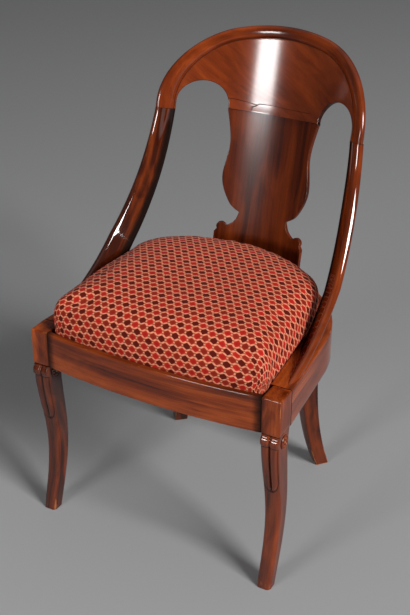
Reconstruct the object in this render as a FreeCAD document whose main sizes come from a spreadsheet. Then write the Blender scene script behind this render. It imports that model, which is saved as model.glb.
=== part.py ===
import FreeCAD, Part
import Sketcher
import math
import os

from FreeCAD import Placement, Rotation, Vector

# A gondola chair: a horseshoe seat frame on four sabre legs, a raked and bent back whose stiles sweep
# forward onto the side rails, and a stuffed drop-in seat. Pieces are laid out from the centre of the
# horseshoe's round back half, which stands behind the origin by the ring setback. Front is -Y, up is +Z.

SIZES = (
    ("ring_radius", 226, "outer radius of the round back half of the seat frame"),
    ("side_taper", 5.2, "angle by which each side rail flares towards the front"),
    ("front_reach", 190, "ring centre to the front face of the blocks"),
    ("front_bow", 15, "how far the front rail bows forward"),
    ("rail_top", 381, "floor to the top of the seat frame"),
    ("rail_height", 68, "height of the seat rails"),
    ("lip_width", 38, "width of the rail left outside the seat rebate"),
    ("ledge_width", 12, "width of the ledge that carries the seat"),
    ("front_lip", 10, "width of the front rail outside the rebate"),
    ("front_ledge", 14, "width of the ledge on the front rail"),
    ("rebate_depth", 22, "depth of the seat rebate"),
    ("rail_joint_angle", 62, "where side rail and back rail meet, round from the side"),
    ("block_width", 34, "width of a front leg's block"),
    ("block_depth", 42, "depth of a front leg's block"),
    ("tenon_thickness", 12, "thickness of the rail tenons"),
    ("tenon_length", 14, "length of the rail tenons"),
    ("tenon_height", 30, "height of the rail tenons"),
    ("tenon_shoulder", 12, "rail bottom to the tenons"),
    ("tenon_set", 6, "block face to the tenons"),
    ("fit_clearance", 0.15, "play of a tenon in its mortise"),
    ("leg_top_width", 33, "front leg's width under the block"),
    ("leg_top_depth", 39, "front leg's depth under the block"),
    ("knee_height", 262, "height of the knee"),
    ("knee_width", 32, "width of the knee"),
    ("knee_depth", 37, "depth of the knee"),
    ("knee_forward", 1, "knee forward of the block's middle"),
    ("calf_height", 150, "height of the calf"),
    ("calf_width", 27.5, "width of the calf"),
    ("calf_depth", 31, "depth of the calf"),
    ("calf_back", 12, "calf behind the block's middle"),
    ("ankle_height", 60, "height of the ankle"),
    ("ankle_width", 24.5, "width of the ankle"),
    ("ankle_depth", 28, "depth of the ankle"),
    ("ankle_forward", 0.5, "ankle forward of the block's middle"),
    ("foot_width", 24, "width of a front foot"),
    ("foot_depth", 24.5, "depth of a front foot"),
    ("foot_forward", 18.25, "front foot forward of the block's middle"),
    ("rear_leg_angle", 49, "where a rear leg stands, round from the side"),
    ("rear_leg_inset", 1, "rail's outer face to the leg's"),
    ("rear_leg_top", 33, "side of a rear leg under the rail"),
    ("rear_thigh_height", 200, "height where the rear leg starts to sweep out"),
    ("rear_thigh", 32, "side of a rear leg there"),
    ("rear_calf_height", 76, "height of the rear calf"),
    ("rear_calf", 28.5, "side of a rear leg at the calf"),
    ("rear_calf_kick", 15, "sweep at the calf"),
    ("rear_foot", 26.5, "side of a rear foot"),
    ("rear_foot_kick", 37, "sweep at the foot"),
    ("stub_side", 18, "side of a rear leg's stub tenon"),
    ("stub_length", 30, "length of a rear leg's stub tenon"),
    ("back_set", 23.4, "back rail's outer face to the splat's face at the rail's top"),
    ("back_rake", 13.5, "lean of the back"),
    ("back_spread", 32, "how much wider splat and panel are bent than the ring"),
    ("splat_thickness", 7, "thickness of the splat"),
    ("hoop_thickness", 16, "thickness of the crest and of its rim"),
    ("bead_proud", 4, "how far the rim stands in front of the panel"),
    ("bead_width", 22.5, "width of the rim round the panel"),
    ("bead_round", 7, "rounding of the rim's outer edges"),
    ("crest_rise", 453.7, "slant height of the crest's top above the rail"),
    ("crest_arc", 330, "radius of the crest's top"),
    ("shoulder_lift", 9.3623, "joint of crest and stile up to the crest's round shoulders"),
    ("hoop_set", 27.3, "side rail's outer face to the hoop's outer edge"),
    ("stile_joint", 283, "slant height of the joint of crest and stile"),
    ("arch_lift", 16, "joint of crest and stile up to the centres of the arches"),
    ("splat_joint_drop", 5, "centres of the arches down to the joint of crest and splat"),
    ("arch_set", 66.7, "hoop's outer edge to the centres of the arches"),
    ("arch_radius", 41, "radius of the arches beside the splat"),
    ("waist_half", 80, "half width of the splat's waist"),
    ("waist_rise", 232, "slant height of the waist"),
    ("belly_half", 87, "half width of the splat's belly"),
    ("belly_rise", 165, "slant height of the belly"),
    ("haunch_half", 70, "half width of the splat under the belly"),
    ("haunch_rise", 120, "slant height under the belly"),
    ("neck_half", 48.5, "half width of the splat's neck"),
    ("neck_rise", 103, "slant height of the neck"),
    ("ear_centre", 78, "half distance between the plinth's scrolls"),
    ("ear_rise", 71, "slant height of the scrolls' centres"),
    ("ear_radius", 9.5, "radius of the plinth's scrolls"),
    ("plinth_half", 90.5, "half width of the plinth"),
    ("plinth_rise", 60, "slant height of the plinth's step"),
    ("splat_tenon_half", 70, "half width of the splat's tenons"),
    ("splat_tenon_thickness", 4, "thickness of the splat's tenons"),
    ("splat_tenon_set", 1.5, "splat's face to its tenons"),
    ("splat_tenon_length", 18, "length of the splat's tenons"),
    ("sweep_ahead", 26.3, "front face of the blocks to the centre of the stiles' sweep"),
    ("sweep_dip", 33.287, "rail's top down to the lowest point of the stiles' sweep"),
    ("stile_elbow_set", 25.2, "rail's outer face to a stile's middle a third of the way down"),
    ("stile_hip_set", 12.5, "rail's outer face to a stile's middle two thirds of the way down"),
    ("stile_foot_set", 10.5, "rail's outer face to a stile's middle at its foot"),
    ("stile_foot_angle", 66, "angle of the sweep at a stile's foot, down from level"),
    ("stile_foot_turn", 54.5, "angle by which a stile's foot is turned to face the seat"),
    ("stile_foot_width", 54, "width of a stile at its foot"),
    ("stile_foot_thickness", 13.5, "thickness of a stile at its foot"),
    ("stile_round", 6, "rounding of a stile's edges"),
    ("dowel_radius", 4, "radius of the frame's dowels"),
    ("dowel_grip", 18, "length of a dowel in each piece"),
    ("stile_dowel_radius", 2.5, "radius of the stile dowels"),
    ("stile_dowel_rise", 6, "length of a stile dowel above the rail"),
    ("low_dowel", 16, "rail bottom to the lower rail dowel"),
    ("high_dowel", 50, "rail bottom to the upper rail dowel"),
    ("stile_dowel_back", 45, "ring centre forward to the rear stile dowel"),
    ("stile_dowel_step", 35, "distance between a stile's dowels"),
    ("corner_leg", 55, "length of a corner block along each rail"),
    ("corner_drop", 4, "seat ledge to the top of a corner block"),
    ("corner_height", 32, "height of a corner block"),
    ("screw_radius", 2, "radius of the corner block screws"),
    ("screw_head_radius", 4, "radius of their heads"),
    ("screw_head_height", 2.5, "height of their heads"),
    ("screw_length", 50, "length of the corner block screws"),
    ("screw_edge", 8, "block's top or bottom to a screw"),
    ("seat_clearance", 1.5, "gap between the seat and its rebate"),
    ("seat_rest_gap", 0.4, "gap between the seat and its ledge"),
    ("cover_thickness", 1.6, "thickness of the seat cloth"),
    ("cover_turn", 44, "width of the cloth turned under the seat"),
    ("seat_rail_width", 48, "width of the seat's own rails"),
    ("seat_rail_thickness", 18, "thickness of the seat's own rails"),
    ("seat_joint_angle", 35, "where the seat's side and back rails meet"),
    ("seat_dowel_radius", 3, "radius of the seat frame's dowels"),
    ("seat_dowel_grip", 14, "length of a seat dowel in each rail"),
    ("seat_dowel_edge", 10, "inner edge of a seat rail to its first dowel"),
    ("seat_dowel_step", 14, "distance between a joint's dowels"),
    ("web_width", 50, "width of the webbing"),
    ("web_thickness", 1.5, "thickness of the webbing"),
    ("web_step", 62, "distance between webbing strips"),
    ("web_front_set", 19.9, "seat's front edge to the ends of the webbing"),
    ("web_back_set", 48.9, "seat's back edge to the ends of the webbing"),
    ("web_side_set", 19.9, "seat's side edges to the ends of the webbing"),
    ("web_cross_set", 33, "ring centre forward to the middle crosswise strip"),
    ("tack_radius", 0.9, "radius of a tack's shank"),
    ("tack_length", 10, "length of a tack's shank in the wood"),
    ("tack_head_radius", 4, "radius of a tack's head"),
    ("tack_head_height", 1, "height of a tack's head"),
    ("web_tack_edge", 8, "end of a strip to its tacks"),
    ("web_tack_step", 17, "distance between the tacks of a strip"),
    ("cover_tack_edge", 38, "edge of the seat's rails to the tacks below"),
    ("cover_tack_step", 48, "distance between the tacks below"),
    ("hessian_thickness", 1, "thickness of the hessian"),
    ("hessian_gap", 1.2, "room over the webbing for the tack heads"),
    ("hessian_inset", 6, "edge of the seat's rails to the hessian"),
    ("cushion_swell", 2, "how far the pad swells over its own edge low down"),
    ("swell_rise", 14.8, "height of that swell over the pad's foot"),
    ("cushion_bulge", 3.4, "how far the pad swells where it is widest"),
    ("bulge_rise", 29, "height from the swell to where the pad is widest"),
    ("brow_rise", 21, "height from there to where the pad's top begins"),
    ("brow_inset", 10, "pad's edge drawn in where its top begins"),
    ("crown_rise", 14, "height from there to the top of the pad"),
    ("crown_inset", 120, "pad's edge drawn in to the flat of its crown"),
    ("cushion_corner", 14, "rounding of the pad's front corners"),
    ("haunch_shift", 75, "how far the pad's full back corners are set out from the middle"),
    ("haunch_back", 45, "how far they are set back"),
    ("haunch_flat", 4, "how far the pad's back is flattened between them"),
)

doc = FreeCAD.newDocument("gondola_chair")
sheet = doc.addObject("Spreadsheet::Sheet", "Sizes")
for row, (alias, number, meaning) in enumerate(SIZES, start=1):
    sheet.set(f"A{row}", meaning)
    sheet.set(f"B{row}", str(number))
    sheet.setAlias(f"B{row}", alias)
doc.recompute()


class Size:
    """A number together with the sheet expression that gives it."""

    def __init__(self, number, text):
        self.number = number
        self.text = text

    def __float__(self):
        return self.number

    def __add__(self, other):
        return Size(self.number + float(other), f"({self.text} + {text_of(other)})")

    def __radd__(self, other):
        return Size(float(other) + self.number, f"({text_of(other)} + {self.text})")

    def __sub__(self, other):
        return Size(self.number - float(other), f"({self.text} - {text_of(other)})")

    def __rsub__(self, other):
        return Size(float(other) - self.number, f"({text_of(other)} - {self.text})")

    def __mul__(self, other):
        return Size(self.number * float(other), f"({self.text} * {text_of(other)})")

    def __rmul__(self, other):
        return Size(float(other) * self.number, f"({text_of(other)} * {self.text})")

    def __truediv__(self, other):
        return Size(self.number / float(other), f"({self.text} / {text_of(other)})")

    def __neg__(self):
        return Size(-self.number, f"(-1 * {self.text})")


def text_of(value):
    return value.text if isinstance(value, Size) else repr(float(value))


def sine(angle):
    return Size(math.sin(math.radians(float(angle))), f"sin({text_of(angle)})")


def cosine(angle):
    return Size(math.cos(math.radians(float(angle))), f"cos({text_of(angle)})")


class Sheet:
    """The named sizes, each read from its cell."""

    def __getattr__(self, alias):
        return Size(float(sheet.get(alias)), f"Sizes.{alias}")


size = Sheet()

# Values that several pieces share

taper = size.side_taper
rail_bottom = size.rail_top - size.rail_height
ledge_top = size.rail_top - size.rebate_depth
ring_rebate = size.ring_radius - size.lip_width
ring_inner = ring_rebate - size.ledge_width
block_back = size.front_reach - size.block_depth
front_inner = size.front_reach - size.front_lip - size.front_ledge
tenon_base = rail_bottom + size.tenon_shoulder
back_reach = size.ring_radius - size.back_set
hoop_half = size.ring_radius - size.hoop_set
arch_centre = hoop_half - size.arch_set
arch_spring = size.stile_joint + size.arch_lift
splat_joint = arch_spring - size.splat_joint_drop
rim_behind = size.hoop_thickness - size.bead_proud
back_rim = rim_behind * cosine(size.back_rake) + size.crest_rise * sine(size.back_rake)
rim_loss = size.bead_round * (cosine(size.back_rake) + sine(size.back_rake) - 1)
ring_setback = (back_reach + back_rim - rim_loss - size.front_reach - size.front_bow) / 2
seat_front = size.front_reach - size.front_lip - size.seat_clearance - size.cover_thickness
seat_radius = ring_rebate - size.seat_clearance - size.cover_thickness
cover_bottom = ledge_top + size.seat_rest_gap
seat_bottom = cover_bottom + size.cover_thickness
seat_top = seat_bottom + size.seat_rail_thickness
hessian_bottom = seat_top + 2 * size.web_thickness + size.hessian_gap
pad_bottom = hessian_bottom + size.hessian_thickness
web_front = seat_front - size.web_front_set
web_back = seat_radius - size.web_back_set
web_half = seat_radius - size.web_side_set


def side_line(radius, forward):
    """How far out a line that flares from the ring is, at a distance forward of the ring's centre."""
    return (radius + forward * sine(taper)) / cosine(taper)


def round_ring(radius, angle):
    return (radius * cosine(angle), radius * sine(angle))


block_outer = side_line(size.ring_radius, block_back)
block_inner = block_outer - size.block_width
block_middle = block_outer - size.block_width / 2

nodes = []


def keep(piece, label):
    piece.Label = label
    nodes.append(piece)
    return piece


def new_body(name):
    body = doc.addObject("PartDesign::Body", name)
    body.setExpression("Placement.Base.y", (-ring_setback).text)
    return body


def plan_sketch(body, name, height, corners, arcs=None):
    """A closed plan at a height: corners in order, and for a round side the point that its arc passes."""
    arcs = arcs or {}
    sketch = body.newObject("Sketcher::SketchObject", name)
    plane = next(item for item in body.Origin.OriginFeatures if item.Role == "XY_Plane")
    sketch.AttachmentSupport = [(plane, "")]
    sketch.MapMode = "FlatFace"
    sketch.setExpression("AttachmentOffset.Base.z", text_of(height))
    spots = [Vector(float(x), float(y), 0) for x, y in corners]
    ends = []
    for index, start in enumerate(spots):
        end = spots[(index + 1) % len(spots)]
        if index not in arcs:
            edge = sketch.addGeometry(Part.LineSegment(start, end))
            ends.append((edge, 1, 2))
            continue
        via = Vector(float(arcs[index][0]), float(arcs[index][1]), 0)
        turns_left = (via - start).cross(end - via).z > 0
        arc = Part.Arc(start, via, end) if turns_left else Part.Arc(end, via, start)
        edge = sketch.addGeometry(arc)
        ends.append((edge, 1, 2) if turns_left else (edge, 2, 1))
        point = sketch.addGeometry(Part.Point(via), True)
        sketch.addConstraint(Sketcher.Constraint("PointOnObject", point, 1, edge))
        pin(sketch, point, 1, arcs[index])
    for index, corner in enumerate(corners):
        edge, first, _ = ends[index]
        before, _, last = ends[index - 1]
        sketch.addConstraint(Sketcher.Constraint("Coincident", before, last, edge, first))
        pin(sketch, edge, first, corner)
    return sketch


def pin(sketch, geometry, point, spot):
    for kind, value in zip(("DistanceX", "DistanceY"), spot):
        index = sketch.addConstraint(Sketcher.Constraint(kind, geometry, point, float(value)))
        sketch.setExpression(f"Constraints[{index}]", text_of(value))


def pad(body, name, height, length, corners, arcs=None):
    feature = body.newObject("PartDesign::Pad", name)
    feature.Profile = plan_sketch(body, f"{name}_plan", height, corners, arcs)
    feature.setExpression("Length", text_of(length))
    return feature


def pocket(body, name, height, length, corners):
    """A box-like hollow from the height upwards."""
    feature = body.newObject("PartDesign::Pocket", name)
    feature.Profile = plan_sketch(body, f"{name}_plan", height, corners)
    feature.Reversed = True
    feature.setExpression("Length", text_of(length))
    return feature


def oblong(left, right, front, back):
    return [(left, front), (right, front), (right, back), (left, back)]


def tapered_leg(body, name, stations):
    """A leg lofted down through upright-sided oblongs: height, middle, width and depth of each."""
    sketches = []
    for number, (height, (middle_x, middle_y), width, depth) in enumerate(stations, start=1):
        corners = oblong(middle_x - width / 2, middle_x + width / 2,
                         middle_y - depth / 2, middle_y + depth / 2)
        sketches.append(plan_sketch(body, f"{name}_{number}", height, corners))
    loft = body.newObject("PartDesign::AdditiveLoft", name)
    loft.Profile = sketches[0]
    loft.Sections = sketches[1:]
    loft.Ruled = False
    return loft


def placed(name, shape):
    """A shape laid out from the ring's centre, set in the chair's own frame."""
    piece = doc.addObject("Part::Feature", name)
    piece.Shape = shape
    piece.Placement = Placement(Vector(0, -float(ring_setback), 0), Rotation())
    return piece


def shaped(label, shape):
    return keep(placed(label, shape), label)


def group(label, solids):
    """Separate solids under one name."""
    return shaped(label, Part.makeCompound(solids))


def cut(label, base, *tools):
    """The base with each tool cut out of it."""
    for number, tool in enumerate(tools, start=1):
        piece = doc.addObject("Part::Cut", f"{label}_{number}")
        piece.Base = base
        piece.Tool = tool
        base = piece
    return keep(base, label)


SIDES = (("left", -1), ("right", 1))

# The bent back: solids are made upright round the bending axis, then leaned back by the rake

face_radius = float(size.ring_radius + size.back_spread)
rim_radius = face_radius - float(size.bead_proud)
rear_radius = rim_radius + float(size.hoop_thickness)
back_lean = Rotation(Vector(1, 0, 0), -float(size.back_rake))
splat_foot = Vector(0, float(back_reach), float(size.rail_top))
back_axis = splat_foot - back_lean.multVec(Vector(0, face_radius, 0))
back_place = Placement(back_axis, back_lean)

# How far a bent blank runs on below the rail's top, and where the cuts square to its face start and end,
# as shares of the bending radius
BELOW_SEAT = 60.0
SAW_NEAR = 0.45
SAW_FAR = 1.2

# Angles at which the round of a plinth's scroll starts and ends
SCROLL_START = 160
SCROLL_END = -30


def lean(shape):
    leaned = shape.copy()
    leaned.Placement = back_place
    return leaned


def bent_board(inside, outside):
    """A tube round the bending axis, from which a bent board is sawn."""
    length = BELOW_SEAT + 2 * float(size.crest_rise)
    foot = Vector(0, 0, -BELOW_SEAT)
    return Part.makeCylinder(outside, length, foot).cut(Part.makeCylinder(inside, length, foot))


def sawn_square(sides):
    """A block whose edges are sawn square to the bent face, from sides given across and up the face."""
    wires = []
    for distance in (SAW_NEAR * face_radius, SAW_FAR * face_radius):
        edges = []
        for points in sides:
            spots = [fanned(across, up, distance) for across, up in points]
            if len(spots) == 2:
                edges.append(Part.makeLine(spots[0], spots[1]))
                continue
            curve = Part.BSplineCurve()
            curve.interpolate(spots)
            edges.append(curve.toShape())
        wires.append(Part.Wire(edges))
    return Part.makeLoft(wires, True, True)


def fanned(across, up, distance):
    return Vector(distance * across / math.sqrt(face_radius ** 2 - across ** 2), distance, up)


def arc_points(centre, radius, start, end, count):
    """Points on an arc, with angles in degrees from the +X side."""
    points = []
    for step in range(count + 1):
        angle = math.radians(start + (end - start) * step / count)
        points.append((centre[0] + radius * math.cos(angle), centre[1] + radius * math.sin(angle)))
    return points


def mirrored(points):
    return [(-across, up) for across, up in reversed(points)]


def crest_line(inset):
    """The crest's round top from the right shoulder to the left, drawn in by the inset."""
    half = float(hoop_half)
    arc = float(size.crest_arc)
    low = float(size.crest_rise) - arc
    spring = float(size.stile_joint + size.shoulder_lift)
    shoulder = (arc ** 2 - half ** 2 - (spring - low) ** 2) / (2 * (arc - half))
    turn = math.degrees(math.atan2(spring - low, half - shoulder))
    right = arc_points((half - shoulder, spring), shoulder - inset, 0, turn, 8)
    crown = arc_points((0, low), arc - inset, turn, 180 - turn, 10)
    return right, crown, mirrored(right)


def crest_sides():
    right, crown, left = crest_line(0)
    joint = float(size.stile_joint)
    outer = right[0]
    arch = arc_points((float(arch_centre), float(arch_spring)), float(size.arch_radius), 180, 0, 12)
    splat_top = (arch[0][0], float(splat_joint))
    foot_out = (outer[0], joint)
    foot_in = (arch[-1][0], joint)
    below = mirrored([foot_out, outer])
    return [[foot_out, outer], right, crown, left, below, mirrored([foot_in, foot_out]),
            mirrored([arch[-1], foot_in]), mirrored(arch), mirrored([splat_top, arch[0]]),
            mirrored([splat_top]) + [splat_top], [splat_top, arch[0]], arch, [arch[-1], foot_in],
            [foot_in, foot_out]]


def panel_sides():
    right, crown, left = crest_line(float(size.bead_width))
    low = float(size.stile_joint) - float(size.bead_width)
    foot = (right[0][0], low)
    below = mirrored([foot, right[0]])
    return [[foot, right[0]], right, crown, left, below, mirrored([foot, (0, low)]), [(0, low), foot]]


def on_outer_rim(edge):
    """Whether an edge of the crest runs round the outside of its hoop."""
    spot = edge.valueAt((edge.FirstParameter + edge.LastParameter) / 2)
    across = face_radius * math.sin(math.atan2(spot.x, spot.y))
    reach = math.hypot(spot.x, spot.y)
    on_face = min(abs(reach - rim_radius), abs(reach - rear_radius)) < 0.01
    low_side = abs(abs(across) - float(hoop_half)) < 0.5
    high = spot.z > float(arch_spring) + float(size.arch_radius) + float(size.bead_width) / 2
    panel = abs(reach - rim_radius) < 0.01 and inside_bead(across, spot.z)
    return on_face and (low_side or high) and not panel


def inside_bead(across, up):
    points = [spot for part in crest_line(float(size.bead_width)) for spot in part]
    nearest = min(math.hypot(across - x, up - z) for x, z in points)
    return nearest < float(size.bead_width) / 2


def make_crest():
    blank = sawn_square(crest_sides()).common(bent_board(rim_radius, rear_radius))
    rim = [edge for edge in blank.Edges if on_outer_rim(edge)]
    blank = blank.makeFillet(float(size.bead_round), rim)
    return blank.cut(sawn_square(panel_sides()).common(bent_board(rim_radius / 2, face_radius)))


def splat_half():
    """The right edge of the splat from its top joint down to the rail, as sides of its outline."""
    top = (float(arch_centre - size.arch_radius), float(splat_joint))
    vase = [top, (float(size.waist_half), float(size.waist_rise)),
            (float(size.belly_half), float(size.belly_rise)),
            (float(size.haunch_half), float(size.haunch_rise)),
            (float(size.neck_half), float(size.neck_rise))]
    ear_centre = (float(size.ear_centre), float(size.ear_rise))
    ear = arc_points(ear_centre, float(size.ear_radius), SCROLL_START, SCROLL_END, 6)
    step = (float(size.plinth_half), float(size.plinth_rise))
    foot = (float(size.plinth_half), -BELOW_SEAT / 2)
    return [vase, [vase[-1], ear[0]], ear, [ear[-1], step], [step, foot]]


def make_splat():
    splat_back = face_radius + float(size.splat_thickness)
    right = splat_half()
    top = right[0][0]
    foot = right[-1][-1]
    left = [mirrored(side) for side in reversed(right)]
    outline = [[mirrored([top])[0], top]] + right + [[foot, mirrored([foot])[0]]] + left
    board = lean(sawn_square(outline).common(bent_board(face_radius, splat_back)))
    board = board.cut(under_rail_top())
    return board.fuse(lean(splat_tenons(0))).removeSplitter()


def under_rail_top():
    reach = 2 * float(size.ring_radius)
    low = -reach
    height = float(size.rail_top) - low
    return Part.makeBox(2 * reach, 2 * reach, height, Vector(-reach, -reach, low))


def splat_tenons(play):
    """The splat's upper and lower tenons, or with play the mortises for them."""
    half = float(size.splat_tenon_half) + play
    inside = face_radius + float(size.splat_tenon_set) - play
    board = bent_board(inside, inside + float(size.splat_tenon_thickness) + 2 * play)
    root = float(size.splat_tenon_length)
    reach = root + play
    joint = float(splat_joint)
    tenons = []
    for low, high in ((-reach, root), (joint - root, joint + reach)):
        corners = [(-half, low), (half, low), (half, high), (-half, high)]
        sides = [[corners[index], corners[(index + 1) % 4]] for index in range(4)]
        tenons.append(sawn_square(sides).common(board))
    return Part.makeCompound(tenons)


# The stiles: a rounded board swept along an arc, turned to face the middle of the chair

hoop_outer = math.asin(float(hoop_half) / face_radius)
hoop_inner = math.asin(float(arch_centre + size.arch_radius) / face_radius)
hoop_angle = (hoop_outer + hoop_inner) / 2
hoop_middle = (rim_radius + rear_radius) / 2
hoop_width = hoop_middle * (hoop_outer - hoop_inner)
hoop_spot = Vector(hoop_middle * math.sin(hoop_angle), hoop_middle * math.cos(hoop_angle),
                   float(size.stile_joint))
stile_head = back_place.multVec(hoop_spot)
sweep_forward = float(size.front_reach + size.sweep_ahead)
sweep_low = float(size.rail_top - size.sweep_dip)
head_rise = stile_head.z - sweep_low
sweep_radius = (head_rise ** 2 + (stile_head.y + sweep_forward) ** 2) / (2 * head_rise)
sweep_centre = Vector(0, -sweep_forward, sweep_low + sweep_radius)
stile_foot_half = float(size.ring_radius - size.stile_foot_set)
head_angle = math.degrees(math.atan2(stile_head.z - sweep_centre.z, stile_head.y - sweep_centre.y))

# The blank's sections, and the angles of the sweep by which it overruns its trimmed ends
STILE_SECTIONS = 10
STILE_OVERRUN = 4.0
STILE_END = -86.0


def between(first, last, share):
    return first + (last - first) * share


def stile_across(share):
    """How far out the right stile's middle is, by its share of the way from head to foot."""
    stops = (stile_head.x, float(size.ring_radius - size.stile_elbow_set),
             float(size.ring_radius - size.stile_hip_set), stile_foot_half)
    if share >= 1:
        return stops[-1]
    place = max(0.0, share) * 3
    stop = min(int(place), 2)
    return between(stops[stop], stops[stop + 1], place - stop)


def stile_section(angle):
    """The right stile's rounded section at an angle of its sweep."""
    share = (head_angle - angle) / (head_angle + float(size.stile_foot_angle))
    held = max(0.0, share)
    width = between(hoop_width, float(size.stile_foot_width), held)
    thickness = between(float(size.hoop_thickness), float(size.stile_foot_thickness), min(1.0, held))
    face_turn = between(hoop_angle, math.radians(float(size.stile_foot_turn)), min(1.0, held))
    turn = math.radians(angle)
    inward = Vector(0, -math.cos(turn), -math.sin(turn))
    outward = Vector(1, 0, 0)
    centre = sweep_centre + outward * stile_across(share) - inward * sweep_radius
    along = outward * math.cos(face_turn) + inward * math.sin(face_turn)
    through = outward * math.sin(face_turn) - inward * math.cos(face_turn)
    corner = float(size.stile_round)
    return rounded_section(centre, along * (width / 2), through * (thickness / 2), corner)


def rounded_section(centre, half_along, half_through, corner):
    """A rounded oblong in space, given its half sides as vectors."""
    along = Vector(half_along).normalize()
    through = Vector(half_through).normalize()
    edges = []
    spots = []
    for a, b in ((1, -1), (1, 1), (-1, 1), (-1, -1)):
        tip = centre + half_along * a + half_through * b
        first = tip - (along * a if a * b < 0 else through * b) * corner
        last = tip - (through * b if a * b < 0 else along * a) * corner
        middle = tip - (along * a + through * b) * corner * (1 - math.sqrt(0.5))
        spots.append((first, middle, last))
    for index, (first, middle, last) in enumerate(spots):
        edges.append(Part.Arc(first, middle, last).toShape())
        edges.append(Part.makeLine(last, spots[(index + 1) % 4][0]))
    return Part.Wire(edges)


def make_stile():
    """The right stile, trimmed at the crest and on the rail's top."""
    span = head_angle + STILE_OVERRUN - STILE_END
    steps = [step / (STILE_SECTIONS - 1) for step in range(STILE_SECTIONS)]
    angles = [head_angle + STILE_OVERRUN - span * step for step in steps]
    post = Part.makeLoft([stile_section(angle) for angle in angles], True, False)
    reach = 2 * face_radius
    low_corner = Vector(-reach, -reach, float(size.stile_joint))
    over_crest = Part.makeBox(2 * reach, 2 * reach, reach, low_corner)
    return post.cut(lean(over_crest)).cut(under_rail_top())


def mirror_side(shape, side):
    return shape if side > 0 else shape.mirror(Vector(0, 0, 0), Vector(1, 0, 0))


# Loose pieces of the joints

def rod(middle, direction, radius, half):
    axis = Vector(direction).normalize()
    return Part.makeCylinder(radius, 2 * half, middle - axis * half, axis)


def crest_dowel_solids():
    lean_up = back_lean.multVec(Vector(0, 0, 1))
    solids = []
    for _, side in SIDES:
        spot = Vector(side * stile_head.x, stile_head.y, stile_head.z)
        solids.append(rod(spot, lean_up, float(size.dowel_radius), float(size.dowel_grip)))
    return solids


def rail_dowel_solids():
    turn = math.radians(float(size.rail_joint_angle))
    middle = float(size.ring_radius + ring_rebate) / 2
    solids = []
    for _, side in SIDES:
        for height in (size.low_dowel, size.high_dowel):
            spot = Vector(side * middle * math.cos(turn), middle * math.sin(turn),
                          float(rail_bottom + height))
            solids.append(rod(spot, Vector(-side * math.sin(turn), math.cos(turn), 0),
                              float(size.dowel_radius), float(size.dowel_grip)))
    return solids


def stile_print(forward):
    """How far out the middle of the right stile meets the rail's top, forward of the ring's centre."""
    drop = math.sqrt(sweep_radius ** 2 - (sweep_centre.y + forward) ** 2)
    middle = sweep_centre.z - drop
    steepness = math.tan(math.radians(float(size.stile_foot_turn)))
    return stile_foot_half + (float(size.rail_top) - middle) / steepness


def stile_dowel_solids():
    length = float(size.dowel_grip + size.stile_dowel_rise)
    solids = []
    for _, side in SIDES:
        for step in (0, 1):
            forward = float(size.stile_dowel_back) + step * float(size.stile_dowel_step)
            foot = Vector(side * stile_print(forward), -forward, float(size.rail_top - size.dowel_grip))
            solids.append(Part.makeCylinder(float(size.stile_dowel_radius), length, foot))
    return solids


corner_tip = (side_line(ring_inner, front_inner), -front_inner)
corner_along = (corner_tip[0] - size.corner_leg, -front_inner)
corner_back = (side_line(ring_inner, front_inner - size.corner_leg), size.corner_leg - front_inner)
corner_base = ledge_top - size.corner_drop - size.corner_height


def screw_solids():
    ends = [Vector(float(x), float(y), 0) for x, y in (corner_along, corner_back)]
    seat = (ends[0] + ends[1]) * 0.5
    slope = (ends[1] - ends[0]).normalize()
    inwards = Vector(slope.y, -slope.x, 0)
    solids = []
    for _, side in SIDES:
        for height in (size.screw_edge, size.corner_height - size.screw_edge):
            spot = Vector(side * seat.x, seat.y, float(corner_base + height))
            axis = Vector(side * inwards.x, inwards.y, 0)
            head = Part.makeCone(float(size.screw_head_radius), float(size.screw_radius),
                                 float(size.screw_head_height), spot, axis)
            shank = Part.makeCylinder(float(size.screw_radius), float(size.screw_length), spot, axis)
            solids.append(head.fuse(shank).removeSplitter())
    return solids


crest_dowels = group("crest_dowels", crest_dowel_solids())
rail_dowels = group("rail_dowels", rail_dowel_solids())
stile_dowels = group("stile_dowels", stile_dowel_solids())
corner_block_screws = group("corner_block_screws", screw_solids())

# Seat rails

mortise_shapes = lean(splat_tenons(float(size.fit_clearance)))
splat_mortises = placed("splat_mortises", Part.makeCompound([mortise_shapes]))


def front_rail():
    blank = new_body("front_rail_blank")
    face = (0, -size.front_reach - size.front_bow)
    rebate = (0, size.front_lip - size.front_reach - size.front_bow)
    front = -size.front_reach
    corners = oblong(-block_inner, block_inner, front, -front_inner)
    pad(blank, "front_rail_base", rail_bottom, size.rail_height - size.rebate_depth, corners, {0: face})
    lip = oblong(-block_inner, block_inner, front, front + size.front_lip)
    pad(blank, "front_rail_lip", rail_bottom, size.rail_height, lip, {0: face, 2: rebate})
    near = size.tenon_set - size.front_reach
    for name, side in SIDES:
        ends = sorted((side * block_inner, side * (block_inner + size.tenon_length)), key=float)
        pad(blank, f"front_rail_tenon_{name}", tenon_base, size.tenon_height,
            oblong(ends[0], ends[1], near, near + size.tenon_thickness))
    return cut("front_rail", blank, corner_block_screws)


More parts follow.
